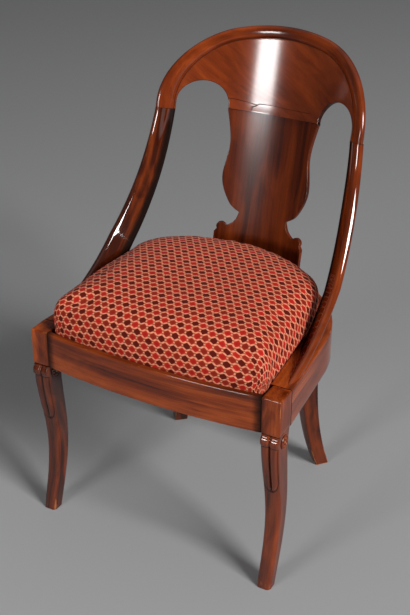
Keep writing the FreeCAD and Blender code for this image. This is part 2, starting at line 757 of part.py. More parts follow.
def side_rail(name, side):
    blank = new_body(f"side_rail_{name}_blank")
    middle = (taper + size.rail_joint_angle) / 2
    for part, inside, height in (("base", ring_inner, size.rail_height - size.rebate_depth),
                                 ("lip", ring_rebate, size.rail_height)):
        corners = [(side_line(size.ring_radius, block_back), -block_back),
                   round_ring(size.ring_radius, taper), round_ring(size.ring_radius, size.rail_joint_angle),
                   round_ring(inside, size.rail_joint_angle), round_ring(inside, taper),
                   (side_line(inside, block_back), -block_back)]
        arcs = {1: round_ring(size.ring_radius, middle), 3: round_ring(inside, middle)}
        flipped = {index: (side * x, y) for index, (x, y) in arcs.items()}
        pad(blank, f"side_rail_{name}_{part}", rail_bottom, height,
            [(side * x, y) for x, y in corners], flipped)
    far = block_outer - size.tenon_set
    ends = sorted((side * far, side * (far - size.tenon_thickness)), key=float)
    pad(blank, f"side_rail_{name}_tenon", tenon_base, size.tenon_height,
        oblong(ends[0], ends[1], -block_back - size.tenon_length, -block_back))
    corners = leg_square(size.stub_side / 2 + size.fit_clearance)
    pocket(blank, f"side_rail_{name}_mortise", rail_bottom, size.stub_length + size.fit_clearance,
           [(side * x, y) for x, y in corners])
    return cut(f"side_rail_{name}", blank, rail_dowels, stile_dowels)


rear_leg_reach = size.ring_radius - size.rear_leg_inset - size.rear_leg_top / 2


def leg_square(half):
    """A square round the middle of the right rear leg's top, turned to the ring."""
    cos = cosine(size.rear_leg_angle)
    sin = sine(size.rear_leg_angle)
    corners = []
    for out, round_way in ((-1, -1), (1, -1), (1, 1), (-1, 1)):
        reach = rear_leg_reach + out * half
        aside = round_way * half
        corners.append((reach * cos - aside * sin, reach * sin + aside * cos))
    return corners


def back_rail():
    blank = new_body("back_rail_blank")
    for part, inside, height in (("base", ring_inner, size.rail_height - size.rebate_depth),
                                 ("lip", ring_rebate, size.rail_height)):
        right = round_ring(size.ring_radius, size.rail_joint_angle)
        inner = round_ring(inside, size.rail_joint_angle)
        corners = [right, (-right[0], right[1]), (-inner[0], inner[1]), inner]
        pad(blank, f"back_rail_{part}", rail_bottom, height, corners,
            {0: (0, size.ring_radius), 2: (0, inside)})
    return cut("back_rail", blank, rail_dowels, splat_mortises)


def corner_block(name, side):
    blank = new_body(f"corner_block_{name}_blank")
    corners = [(side * x, y) for x, y in (corner_along, corner_tip, corner_back)]
    pad(blank, f"corner_block_{name}_body", corner_base, size.corner_height, corners)
    return cut(f"corner_block_{name}", blank, corner_block_screws)


# Legs

def front_leg(name, side):
    leg = new_body(f"front_leg_{name}")
    ends = sorted((side * block_inner, side * block_outer), key=float)
    pad(leg, f"front_leg_{name}_block", rail_bottom, size.rail_height,
        oblong(ends[0], ends[1], -size.front_reach, -block_back))
    across = side * block_middle
    middle = size.block_depth / 2 - size.front_reach
    knee = (across, middle - size.knee_forward)
    calf = (across, middle + size.calf_back)
    ankle = (across, middle - size.ankle_forward)
    foot = (across, middle - size.foot_forward)
    stations = [(rail_bottom, (across, middle), size.leg_top_width, size.leg_top_depth),
                (size.knee_height, knee, size.knee_width, size.knee_depth),
                (size.calf_height, calf, size.calf_width, size.calf_depth),
                (size.ankle_height, ankle, size.ankle_width, size.ankle_depth),
                (0, foot, size.foot_width, size.foot_depth)]
    tapered_leg(leg, f"front_leg_{name}_sweep", stations)
    play = size.fit_clearance
    near = size.tenon_set - size.front_reach
    ends = sorted((side * block_inner, side * (block_inner + size.tenon_length + play)), key=float)
    pocket(leg, f"front_leg_{name}_front_mortise", tenon_base - play, size.tenon_height + 2 * play,
           oblong(ends[0], ends[1], near - play, near + size.tenon_thickness + play))
    far = block_outer - size.tenon_set
    ends = sorted((side * (far + play), side * (far - size.tenon_thickness - play)), key=float)
    pocket(leg, f"front_leg_{name}_side_mortise", tenon_base - play, size.tenon_height + 2 * play,
           oblong(ends[0], ends[1], -block_back - size.tenon_length - play, -block_back))
    return keep(leg, f"front_leg_{name}")


def rear_leg(name, side):
    """A rear leg drawn along +X, then turned round to its place in the ring."""
    leg = new_body(f"rear_leg_{name}")
    angle = size.rear_leg_angle if side > 0 else 180 - size.rear_leg_angle
    leg.Placement = Placement(Vector(), Rotation(Vector(0, 0, 1), float(angle)))
    leg.setExpression("Placement.Rotation.Angle", angle.text)
    stations = [(rail_bottom, (rear_leg_reach, 0), size.rear_leg_top, size.rear_leg_top),
                (size.rear_thigh_height, (rear_leg_reach, 0), size.rear_thigh, size.rear_thigh),
                (size.rear_calf_height, (rear_leg_reach + size.rear_calf_kick, 0),
                 size.rear_calf, size.rear_calf),
                (0, (rear_leg_reach + size.rear_foot_kick, 0), size.rear_foot, size.rear_foot)]
    tapered_leg(leg, f"rear_leg_{name}_sweep", stations)
    half = size.stub_side / 2
    pad(leg, f"rear_leg_{name}_stub", rail_bottom, size.stub_length,
        oblong(rear_leg_reach - half, rear_leg_reach + half, -half, half))
    return keep(leg, f"rear_leg_{name}")


front_rail()
back_rail()
for side_name, side_sign in SIDES:
    side_rail(side_name, side_sign)
    corner_block(side_name, side_sign)
    front_leg(side_name, side_sign)
    rear_leg(side_name, side_sign)

# Back

right_stile = make_stile()
joint_holes = Part.makeCompound(crest_dowel_solids() + stile_dowel_solids())
for side_name, side_sign in SIDES:
    shaped(f"stile_{side_name}", mirror_side(right_stile, side_sign).cut(joint_holes))
shaped("crest_rail", lean(make_crest()).cut([mortise_shapes] + crest_dowel_solids()))
shaped("splat", make_splat())

# The loose seat's frame

seat_break = seat_front - size.seat_rail_width
seat_side = side_line(seat_radius, seat_break)
seat_chord = round_ring(seat_radius, size.seat_joint_angle)
inner_front = seat_side - size.seat_rail_width
inner_back = seat_chord[0] - size.seat_rail_width


def seat_dowel_solids():
    height = float(seat_bottom + size.seat_rail_thickness / 2)
    solids = []
    for _, side in SIDES:
        for edge, along in ((inner_front, -seat_break), (inner_back, seat_chord[1])):
            for step in (0, 1):
                across = float(edge + size.seat_dowel_edge) + step * float(size.seat_dowel_step)
                solids.append(rod(Vector(side * across, float(along), height), Vector(0, 1, 0),
                                  float(size.seat_dowel_radius), float(size.seat_dowel_grip)))
    return solids


def tack(spot, drop, point):
    """A tack with the underside of its head at the spot, pointing up or down."""
    head = Part.makeCylinder(float(size.tack_head_radius), float(size.tack_head_height), spot,
                             Vector(0, 0, -point))
    shank = Part.makeCylinder(float(size.tack_radius), drop + float(size.tack_length), spot,
                              Vector(0, 0, point))
    return head.fuse(shank).removeSplitter()


WEB_PLACES = (-1, 0, 1)


def web_tack_solids():
    thickness = float(size.web_thickness)
    step = float(size.web_tack_step)
    edge = float(size.web_tack_edge)
    solids = []
    for place in WEB_PLACES:
        for aside in WEB_PLACES:
            offset = place * float(size.web_step) + aside * step
            for along in (edge - float(web_front), float(web_back) - edge):
                solids.append(tack(Vector(offset, along, float(seat_top) + thickness), thickness, -1))
            for side in (-1, 1):
                spot = Vector(side * (float(web_half) - edge), offset - float(size.web_cross_set),
                              float(seat_top) + 2 * thickness)
                solids.append(tack(spot, 2 * thickness, -1))
    return solids


def cover_tack_spots():
    """Points round the underside of the seat, a tack's edge distance in from its rails' edge."""
    inset = float(size.cover_tack_edge)
    step = float(size.cover_tack_step)
    front = float(seat_front) - inset
    radius = float(seat_radius) - inset
    half = float(side_line(seat_radius - size.cover_tack_edge, seat_front - size.cover_tack_edge))
    spots = []
    count = int(half // step)
    for number in range(-count, count + 1):
        across = number * step
        spots.append((across, -front - float(size.front_bow) * (1 - (across / half) ** 2)))
    for number in range(1, int(front // step) + 1):
        forward = front - number * step
        across = float(side_line(seat_radius - size.cover_tack_edge, forward))
        spots.extend([(across, -forward), (-across, -forward)])
    turns = int(math.pi * radius // step)
    for number in range(turns + 1):
        angle = math.radians(float(taper)) + (math.pi - 2 * math.radians(float(taper))) * number / turns
        spots.append((radius * math.cos(angle), radius * math.sin(angle)))
    return spots


def cover_tack_solids():
    skin = float(size.cover_thickness)
    return [tack(Vector(x, y, float(cover_bottom)), skin, 1) for x, y in cover_tack_spots()]


seat_dowels = group("seat_dowels", seat_dowel_solids())
webbing_tacks = group("webbing_tacks", web_tack_solids())
cover_tacks = group("cover_tacks", cover_tack_solids())
SEAT_FIXINGS = (seat_dowels, webbing_tacks, cover_tacks)

# Where the middle of the pad's rounded front corner lies, as shares of its rounding
CORNER_ASIDE = 0.3
CORNER_BEHIND = 0.24


def seat_points(inset, fullness=0):
    """Points of the seat's right half drawn in from its rails' edge: front middle, front, bend, side and
    back corner. With fullness the back is squarer than the half round of the seat's frame."""
    radius = seat_radius - inset
    front = seat_front - inset
    corner = size.cushion_corner
    shift = fullness * size.haunch_shift
    back = fullness * size.haunch_back
    haunch = radius - shift
    flank = haunch + shift * cosine(taper) + back * sine(taper)
    tip = side_line(flank, front)
    share = (tip - corner) / tip
    near = -front - size.front_bow * (1 - share * share)
    bend = (tip - CORNER_ASIDE * corner, CORNER_BEHIND * corner - front)
    side = (side_line(flank, front - corner), corner - front)
    shoulder = (shift + haunch * cosine(taper), back + haunch * sine(taper))
    return (0, -front - size.front_bow), (tip - corner, near), bend, side, shoulder


def seat_rail_front():
    blank = new_body("seat_rail_front_blank")
    middle, front, bend, side, _ = seat_points(0)
    half = [front, side, (seat_side, -seat_break)]
    corners = half + [(-x, y) for x, y in reversed(half)]
    pad(blank, "seat_rail_front_body", seat_bottom, size.seat_rail_thickness, corners,
        {0: bend, 4: (-bend[0], bend[1]), 5: middle})
    return cut("seat_rail_front", blank, *SEAT_FIXINGS)


def seat_rail_back():
    blank = new_body("seat_rail_back_blank")
    corners = [seat_chord, (-seat_chord[0], seat_chord[1])]
    pad(blank, "seat_rail_back_body", seat_bottom, size.seat_rail_thickness, corners, {0: (0, seat_radius)})
    return cut("seat_rail_back", blank, *SEAT_FIXINGS)


def seat_rail_side(name, side):
    blank = new_body(f"seat_rail_{name}_blank")
    corners = [(seat_side, -seat_break), round_ring(seat_radius, taper), seat_chord,
               (inner_back, seat_chord[1]), (inner_front, -seat_break)]
    arc = round_ring(seat_radius, (taper + size.seat_joint_angle) / 2)
    pad(blank, f"seat_rail_{name}_body", seat_bottom, size.seat_rail_thickness,
        [(side * x, y) for x, y in corners], {1: (side * arc[0], arc[1])})
    return cut(f"seat_rail_{name}", blank, *SEAT_FIXINGS)


def strip(name, left, right, front, back, height):
    body = new_body(name)
    pad(body, f"{name}_body", height, size.web_thickness, oblong(left, right, front, back))
    return body


def webbing(label, strips):
    bundle = doc.addObject("Part::Compound", f"{label}_strips")
    bundle.Links = strips
    return cut(label, bundle, webbing_tacks)


seat_rail_front()
seat_rail_back()
for side_name, side_sign in SIDES:
    seat_rail_side(side_name, side_sign)

half_web = size.web_width / 2
lengthwise = []
crosswise = []
for number, web_place in enumerate(WEB_PLACES, start=1):
    middle_line = web_place * size.web_step
    lengthwise.append(strip(f"long_web_{number}", middle_line - half_web, middle_line + half_web,
                            -web_front, web_back, seat_top))
    middle_line = middle_line - size.web_cross_set
    crosswise.append(strip(f"cross_web_{number}", -web_half, web_half,
                           middle_line - half_web, middle_line + half_web, seat_top + size.web_thickness))
webbing("webbing_lengthwise", lengthwise)
webbing("webbing_crosswise", crosswise)

# Hessian, pad and cover


def hessian():
    body = new_body("hessian")
    radius = seat_radius - size.hessian_inset
    front = seat_front - size.hessian_inset
    corner = side_line(radius, front)
    shoulder = round_ring(radius, taper)
    corners = [(-corner, -front), (corner, -front), shoulder, (-shoulder[0], shoulder[1])]
    pad(body, "hessian_cloth", hessian_bottom, size.hessian_thickness, corners,
        {0: (0, -front - size.front_bow), 2: (0, radius)})
    return keep(body, "hessian")


# Where the sides and the back of a plain half round meet, round from the side
PLAIN_TURN = 60


def seat_wire(inset, height, fullness=0.0):
    """The seat's outline drawn in by an inset from its rails' edge, with rounded front corners."""
    middle, front, bend, side, shoulder = seat_points(inset, fullness)
    shift = fullness * float(size.haunch_shift)
    back = fullness * float(size.haunch_back)
    haunch = float(seat_radius - inset) - shift
    depth = float(seat_radius - inset) - fullness * float(size.haunch_flat) - back
    turn = math.radians(PLAIN_TURN)
    if fullness > 0:
        rear = (shift ** 2 + depth ** 2 - haunch ** 2) / (2 * (depth - haunch))
        turn = math.atan2(rear - depth, shift)
    half_turn = (turn + math.radians(float(taper))) / 2
    meet = (shift + haunch * math.cos(turn), back + haunch * math.sin(turn))
    flank = (shift + haunch * math.cos(half_turn), back + haunch * math.sin(half_turn))

    def at(spot, flip=1):
        return Vector(flip * float(spot[0]), float(spot[1]), height)

    edges = [Part.Arc(at(front, -1), at(middle), at(front)),
             Part.Arc(at(front), at(bend), at(side)),
             Part.LineSegment(at(side), at(shoulder)),
             Part.Arc(at(shoulder), at(flank), at(meet)),
             Part.Arc(at(meet), at((0, back + depth)), at(meet, -1)),
             Part.Arc(at(meet, -1), at(flank, -1), at(shoulder, -1)),
             Part.LineSegment(at(shoulder, -1), at(side, -1)),
             Part.Arc(at(side, -1), at(bend, -1), at(front, -1))]
    return Part.Wire([edge.toShape() for edge in edges])


def seat_prism(inset, low, high):
    face = Part.Face(seat_wire(inset, float(low)))
    return face.extrude(Vector(0, 0, float(high) - float(low)))


# Levels of the pad: which of its spans from foot to crown each lies in, its share of that span's rise, its
# share of the way in, and how full the back corners are there
FOOT, SWELL, WIDEST, BROW = range(4)
PAD_LEVELS = ((FOOT, 0.0, 0.0, 0.0), (SWELL, 0.0, 0.0, 0.5), (SWELL, 0.55, 0.85, 0.85),
              (WIDEST, 0.0, 0.0, 1.0), (WIDEST, 0.6, 0.3, 1.0), (BROW, 0.0, 0.0, 1.0),
              (BROW, 0.5, 0.23, 0.9), (BROW, 0.8, 0.52, 0.7), (BROW, 1.0, 1.0, 0.4))


def crowned_pad(skin):
    """The pad, or with the cloth's thickness as skin the pad grown to the outside of its cover."""
    foot = float(pad_bottom)
    swell = foot + float(size.swell_rise)
    widest = swell + float(size.bulge_rise)
    brow = widest + float(size.brow_rise) - float(size.cover_thickness) + skin
    crown = brow + float(size.crown_rise)
    stops = ((foot, 0.0), (swell, -float(size.cushion_swell)), (widest, -float(size.cushion_bulge)),
             (brow, float(size.brow_inset)), (crown, float(size.crown_inset)))
    wires = []
    for span, rise, way_in, fullness in PAD_LEVELS:
        height = between(stops[span][0], stops[span + 1][0], rise)
        inset = between(stops[span][1], stops[span + 1][1], way_in)
        wires.append(seat_wire(inset - skin, height, fullness))
    return Part.makeLoft(wires, True, False, False, 2)


def seat_cover(stuffing):
    skin = float(size.cover_thickness)
    outside = crowned_pad(skin).fuse(seat_prism(-skin, cover_bottom, pad_bottom))
    inside = seat_prism(0, seat_bottom, pad_bottom)
    opening = seat_prism(size.cover_turn, cover_bottom - skin, seat_bottom + skin)
    holes = Part.makeCompound(cover_tack_solids())
    return outside.cut([stuffing, inside, opening]).cut(holes).removeSplitter()


hessian()
pad_shape = crowned_pad(0.0)
shaped("stuffing", pad_shape)
shaped("seat_cover", seat_cover(pad_shape))

# Check every object and every piece, then write the pieces

doc.recompute()
for item in doc.Objects:
    if "Invalid" in item.State or "Error" in item.State:
        raise RuntimeError(f"{item.Label} failed: {item.State}")
for piece in nodes:
    if piece.Shape.isNull() or not piece.Shape.isValid() or not piece.Shape.Solids:
        raise RuntimeError(f"{piece.Label} has no sound solid")

os.makedirs("parts", exist_ok=True)
for piece in nodes:
    piece.Shape.exportStep(os.path.join("parts", f"{piece.Label}.step"))
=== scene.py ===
import math

import bmesh
import bpy
import numpy as np
from bpy.props import FloatProperty, FloatVectorProperty, PointerProperty
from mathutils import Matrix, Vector
from mathutils.geometry import delaunay_2d_cdt


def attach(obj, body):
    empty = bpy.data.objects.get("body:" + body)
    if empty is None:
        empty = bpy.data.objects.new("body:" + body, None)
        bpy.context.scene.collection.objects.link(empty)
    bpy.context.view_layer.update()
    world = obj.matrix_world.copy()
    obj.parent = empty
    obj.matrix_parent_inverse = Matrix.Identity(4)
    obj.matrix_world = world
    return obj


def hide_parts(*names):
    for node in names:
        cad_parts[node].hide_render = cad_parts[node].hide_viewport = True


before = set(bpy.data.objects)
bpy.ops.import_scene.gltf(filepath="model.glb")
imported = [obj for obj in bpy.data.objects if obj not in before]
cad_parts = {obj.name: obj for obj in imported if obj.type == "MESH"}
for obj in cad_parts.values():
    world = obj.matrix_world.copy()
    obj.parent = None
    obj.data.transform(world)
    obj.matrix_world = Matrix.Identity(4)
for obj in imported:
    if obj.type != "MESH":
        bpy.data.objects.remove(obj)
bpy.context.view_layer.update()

bl_info = {
    "name": "Gondola chair",
    "version": (1, 0, 0),
    "blender": (4, 5, 0),
    "location": "3D View > Sidebar > Gondola chair",
    "description": "Polished mahogany chair with a bent back, sabre legs and a stuffed drop-in seat",
    "category": "Object",
}

FRAME_BODY = "chair_frame"
SEAT_BODY = "drop_in_seat"
SIDES = (("left", -1), ("right", 1))


# Sizes and colours that can be changed

def length(label, description, default):
    return FloatProperty(name=label, description=description, default=default, unit="LENGTH", precision=4)


def turn(label, description, degrees):
    return FloatProperty(name=label, description=description, default=math.radians(degrees),
                         subtype="ANGLE")


def share(label, description, default, most=1.0):
    return FloatProperty(name=label, description=description, default=default, min=0.0, max=most,
                         subtype="FACTOR")


def colour(label, description, default):
    return FloatVectorProperty(name=label, description=description, default=default, size=3, min=0.0,
                               max=1.0, subtype="COLOR")


def power(label, description, default):
    return FloatProperty(name=label, description=description, default=default, unit="POWER")


class BackSizes(bpy.types.PropertyGroup):
    bend: length("Bend", "Radius to which the panel and the splat are bent", 0.258)
    rake: turn("Rake", "Lean of the back", 13.5)
    axis_y: length("Axis depth", "Depth of the bending axis at the rail's slant zero", -0.10514)
    axis_z: length("Axis height", "Height of the bending axis at the rail's slant zero", 0.44123)
    rim: length("Rim radius", "Radius of the front of the crest's rim", 0.254)
    rear: length("Rear radius", "Radius of the crest's rear face", 0.270)
    splat_rear: length("Splat rear", "Radius of the splat's rear face", 0.265)
    half: length("Half width", "Half width of the hoop across its face", 0.1987)
    top: length("Top", "Slant height of the crest's top", 0.4537)
    crown: length("Crown radius", "Radius of the crest's top arc", 0.330)
    spring: length("Shoulder height", "Slant height where the round shoulders start", 0.29236)
    joint: length("Stile joint", "Slant height of the joints of crest and stiles", 0.283)
    splat_joint: length("Splat joint", "Slant height of the joint of crest and splat", 0.294)
    arch_height: length("Arch height", "Slant height of the arches' centres", 0.299)
    arch_centre: length("Arch centre", "Half distance between the arches' centres", 0.132)
    arch_radius: length("Arch radius", "Radius of the arches", 0.041)
    bead: length("Bead width", "Width of the rounded rim round the panel", 0.0223)
    sink: length("Panel sink", "Depth of the panel behind the rim", 0.004)


class RailSizes(bpy.types.PropertyGroup):
    centre_y: length("Ring centre", "Depth of the centre of the horseshoe's round half", -0.05687)
    ring: length("Ring radius", "Outer radius of the round half", 0.226)
    flare: turn("Flare", "Angle by which the side rails flare forwards", 5.2)
    joint: turn("Back joint", "Where side rails and back rail meet, round from the side", 62)
    top: length("Top", "Height of the rails' top", 0.381)
    bottom: length("Bottom", "Height of the rails' bottom", 0.313)
    lip: length("Lip", "Width of the rail outside the seat's rebate", 0.038)
    ledge: length("Ledge", "Width of the ledge under the seat", 0.012)
    rebate: length("Rebate", "Depth of the seat's rebate", 0.022)
    front: length("Front", "Ring centre to the front of the blocks", 0.190)
    bow: length("Bow", "How far the front rail bows forward", 0.015)
    front_lip: length("Front lip", "Width of the front rail outside the rebate", 0.010)
    front_ledge: length("Front ledge", "Width of the front rail's ledge", 0.014)
    block_width: length("Block width", "Width of a front block", 0.034)
    block_depth: length("Block depth", "Depth of a front block", 0.042)
    arris: length("Arris", "Rounding of the rails' outer edges", 0.003)


class StileSizes(bpy.types.PropertyGroup):
    sweep_y: length("Sweep centre", "Depth of the centre of the sweep", -0.27317)
    sweep_z: length("Sweep height", "Height of the centre of the sweep", 0.7688)
    sweep: length("Sweep radius", "Radius of the sweep", 0.42109)
    elbow: length("Elbow", "Half distance a third of the way down", 0.2008)
    hip: length("Hip", "Half distance two thirds of the way down", 0.2135)
    foot: length("Foot", "Half distance at the foot", 0.2155)
    foot_angle: turn("Foot angle", "Angle of the sweep at the foot", 66)
    foot_turn: turn("Foot turn", "Turn of the foot towards the seat", 54.5)
    foot_width: length("Foot width", "Width at the foot", 0.054)
    foot_thickness: length("Foot thickness", "Thickness at the foot", 0.0135)
    corner: length("Rounding", "Rounding of the edges", 0.006)


class LegSizes(bpy.types.PropertyGroup):
    corner: length("Rounding", "Rounding of the front legs' edges", 0.0070)
    rear_corner: length("Rear rounding", "Rounding of the rear legs' edges", 0.0026)
    rear_turn: turn("Rear leg turn", "Where a rear leg stands, round from the side", 49)
    lappet_end: length("Lappet end", "Height of the lower tip of the carved lappets", 0.1925)
    lappet_proud: length("Lappet relief", "How far the lappets' lobes stand out", 0.0030)
    rosette_height: length("Rosette height", "Height of the rosettes beside the knees", 0.2950)
    rosette_radius: length("Rosette radius", "Radius of the rosettes", 0.0125)


class SeatSizes(bpy.types.PropertyGroup):
    radius: length("Back radius", "Radius of the seat's round back under its cloth", 0.1849)
    front: length("Front", "Ring centre to the seat's front corners", 0.1769)
    skin: length("Cloth", "Thickness of the cloth", 0.0016)
    bottom: length("Bottom", "Height of the cloth's underside", 0.3594)
    turn_under: length("Turned edge", "Width of cloth turned under the seat", 0.044)
    brow: length("Brow height", "Height where the top starts to round over", 0.4455)
    crown: length("Crown height", "Height of the middle of the seat", 0.460)
    corner: length("Corner", "Rounding of the seat's front corners", 0.014)
    lift: length("Back lift", "How much fuller the stuffing is behind its front edge", 0.005)
    tilt: length("Tilt", "How much fuller the stuffing is to the left", 0.0045)
    droop: length("Droop", "How much lower the stuffing is at the front corners", 0.004)
    belly: length("Belly", "How far the stuffing bulges on the right", 0.0045)


class WoodLook(bpy.types.PropertyGroup):
    dark: colour("Dark", "Darkest streaks", (0.028, 0.0040, 0.0010))
    middle: colour("Middle", "Body of the wood", (0.145, 0.0205, 0.0024))
    light: colour("Light", "Lightest streaks", (0.330, 0.0620, 0.0085))
    # The worn colour is also painted highlight on the rosettes' ridges
    worn: colour("Worn", "Rubbed edges", (0.38, 0.135, 0.045))
    # The grime colour darkens joints and cracks as dirt, and also quirks, creases and recesses as painted
    # shade
    grime: colour("Grime", "Dirt in joints and quirks", (0.008, 0.004, 0.003))
    polish: share("Polish", "Weight of the polish", 0.92)


class ClothLook(bpy.types.PropertyGroup):
    red: colour("Red", "Bright cells", (0.46, 0.017, 0.010))
    brick: colour("Brick", "Orange-brown cells", (0.27, 0.020, 0.008))
    maroon: colour("Maroon", "Dark cells", (0.085, 0.006, 0.0025))
    thread: colour("Thread", "Pale lattice", (0.72, 0.25, 0.145))
    knot: colour("Knot", "Dark dots where the lattice meets", (0.12, 0.050, 0.012))
    across: length("Cell width", "Width of a cell of the lattice", 0.0147)
    along: length("Cell length", "Length of two rows of the lattice", 0.0220)


class StageLook(bpy.types.PropertyGroup):
    floor: colour("Floor", "Colour of the floor", (0.28, 0.28, 0.283))
    air: colour("Surroundings", "Colour of the studio round the chair", (0.10, 0.10, 0.101))
    key: power("Key light", "Power of the strip in front", 38.0)
    haze: power("Haze light", "Power of the wide soft light behind the strip", 2.0)
    side: power("Side light", "Power of the light on the right", 770.0)
    sky: power("Overhead light", "Power of the wide light overhead", 22.0)


# Shader sums and nodes

class Wire:
    """A shader socket. A sum written on it adds the nodes that work it out."""

    def __init__(self, paint, socket):
        self.paint = paint
        self.socket = socket

    def __abs__(self):
        return self.paint.sum("ABSOLUTE", self)


def overload(sign, operation):
    """Makes a sign before or after a wire add its node."""
    setattr(Wire, f"__{sign}__", lambda wire, other: wire.paint.sum(operation, wire, other))
    setattr(Wire, f"__r{sign}__", lambda wire, other: wire.paint.sum(operation, other, wire))


for signs in (("add", "ADD"), ("sub", "SUBTRACT"), ("mul", "MULTIPLY"), ("truediv", "DIVIDE"),
              ("mod", "FLOORED_MODULO"), ("lt", "LESS_THAN"), ("gt", "GREATER_THAN")):
    overload(*signs)


class Paint:
    """One material and the nodes that make its finish."""

    def __init__(self, name):
        self.material = bpy.data.materials.new(name)
        self.material.use_nodes = True
        self.tree = self.material.node_tree
        self.shader = self.tree.nodes["Principled BSDF"]

    def node(self, kind, settings=None, sockets=None, out=0):
        """Any node: its settings are set first, then the values or links of its sockets."""
        made = self.tree.nodes.new(kind)
        for key, value in (settings or {}).items():
            if key == "stops":
                self.fill_ramp(made.color_ramp, value)
            else:
                setattr(made, key, value)
        for key, value in (sockets or {}).items():
            self.feed(made.inputs[key], value)
        return Wire(self, made.outputs[out])

    def fill_ramp(self, ramp, stops):
        while len(ramp.elements) < len(stops):
            ramp.elements.new(1.0)
        for element, (place, tint) in zip(ramp.elements, stops):
            element.position = place
            element.color = (*tint, 1.0)

    def feed(self, socket, value):
        if isinstance(value, Wire):
            self.tree.links.new(value.socket, socket)
        else:
            socket.default_value = value

    def sum(self, operation, *values):
        return self.node("ShaderNodeMath", {"operation": operation}, dict(enumerate(values)))

    def least(self, first, second):
        return self.sum("MINIMUM", first, second)

    def most(self, first, second):
        return self.sum("MAXIMUM", first, second)

    def step(self, value, low, high):
        """Rises smoothly from 0 to 1 as the value goes from low to high."""
        return self.node("ShaderNodeMapRange", {"interpolation_type": "SMOOTHSTEP"},
                         {"Value": value, "From Min": low, "From Max": high})

    def mix(self, part, first, second):
        """Two colours mixed."""
        tints = [tint if isinstance(tint, Wire) else (*tint, 1.0) for tint in (first, second)]
        return self.node("ShaderNodeMix", {"data_type": "RGBA"}, {0: part, 6: tints[0], 7: tints[1]}, 2)

    def mark(self, name, out="Fac"):
        return self.node("ShaderNodeAttribute", {"attribute_name": name}, out=out)

    def part(self, vector, axis):
        return self.node("ShaderNodeSeparateXYZ", None, {0: vector}, axis)

    def stretched(self, vector, scale, detail=3.0, rough=0.55, distort=0.0):
        """Noise drawn out by a different scale in each direction."""
        scaled = self.node("ShaderNodeVectorMath", {"operation": "MULTIPLY"}, {0: vector, 1: scale})
        return self.node("ShaderNodeTexNoise", None,
                         {"Vector": scaled, "Scale": 1.0, "Detail": detail, "Roughness": rough,
                          "Distortion": distort})

    def bump(self, height, strength, distance, under=None):
        sockets = {"Height": height, "Strength": strength, "Distance": distance}
        if under is not None:
            sockets["Normal"] = under
        return self.node("ShaderNodeBump", None, sockets)

    def coat(self, **sockets):
        """Feeds the shader's own sockets, named with underscores for spaces."""
        for key, value in sockets.items():
            socket = self.shader.inputs[key.replace("_", " ")]
            if not isinstance(value, Wire) and hasattr(value, "__len__") and len(value) == 3:
                value = (*value, 1.0)
            self.feed(socket, value)
        return self.material


FINISHES = {}


def finish(name, maker, *args):
    """A finish by its name, made once."""
    if name not in FINISHES:
        FINISHES[name] = maker(name, *args)
    return FINISHES[name]


# Each part's mahogany: its streaks and its figure, as noise to the metre along and across the grain, then
# its shade, warmth and contrast, and its polish's roughness and refractive index
WOODS = {
    "rim": ((2.0, 60.0), (7.0, 16.0), -0.12, 0.05, 1.0, 0.15, 1.5),
    "panel": ((5.0, 34.0), (9.0, 22.0), -0.08, 0.10, 0.60, 0.16, 1.6),
    "splat": ((1.6, 95.0), (5.0, 20.0), -0.21, 0.0, 0.50, 0.20, 1.42),
    # The left stile's finish is darker than the right's as painted shade
    "stile_left": ((2.4, 70.0), (7.0, 22.0), -0.34, 0.02, 0.9, 0.05, 1.6),
    "stile_right": ((2.4, 70.0), (7.0, 22.0), -0.14, 0.02, 0.9, 0.05, 1.6),
    "rail": ((1.5, 46.0), (4.0, 20.0), 0.05, 0.0, 1.4, 0.08, 1.5),
    # The side rails' finish is a little lighter and warmer than the front rail's as painted light from the
    # right
    "side_rail": ((1.5, 46.0), (4.0, 20.0), 0.06, 0.04, 1.5, 0.08, 1.5),
    "block": ((3.0, 40.0), (9.0, 30.0), 0.03, 0.05, 1.4, 0.08, 1.5),
    "leg_left": ((1.8, 58.0), (5.0, 26.0), -0.26, 0.0, 0.8, 0.06, 1.65),
    "leg_right": ((1.8, 58.0), (5.0, 26.0), -0.15, 0.0, 0.8, 0.06, 1.65),
    "rear_leg": ((1.8, 58.0), (5.0, 26.0), -0.30, 0.0, 0.75, 0.08, 1.5),
}
FINE_GRAIN = (16.0, 430.0)
PORES = (95.0, 1700.0)
RUBBING = (55.0, 160.0)
RIPPLES = (9.0, 24.0)


def show_wood(part):
    """The finish of one show-wood part."""
    return finish(f"mahogany_{part}", mahogany, *WOODS[part])


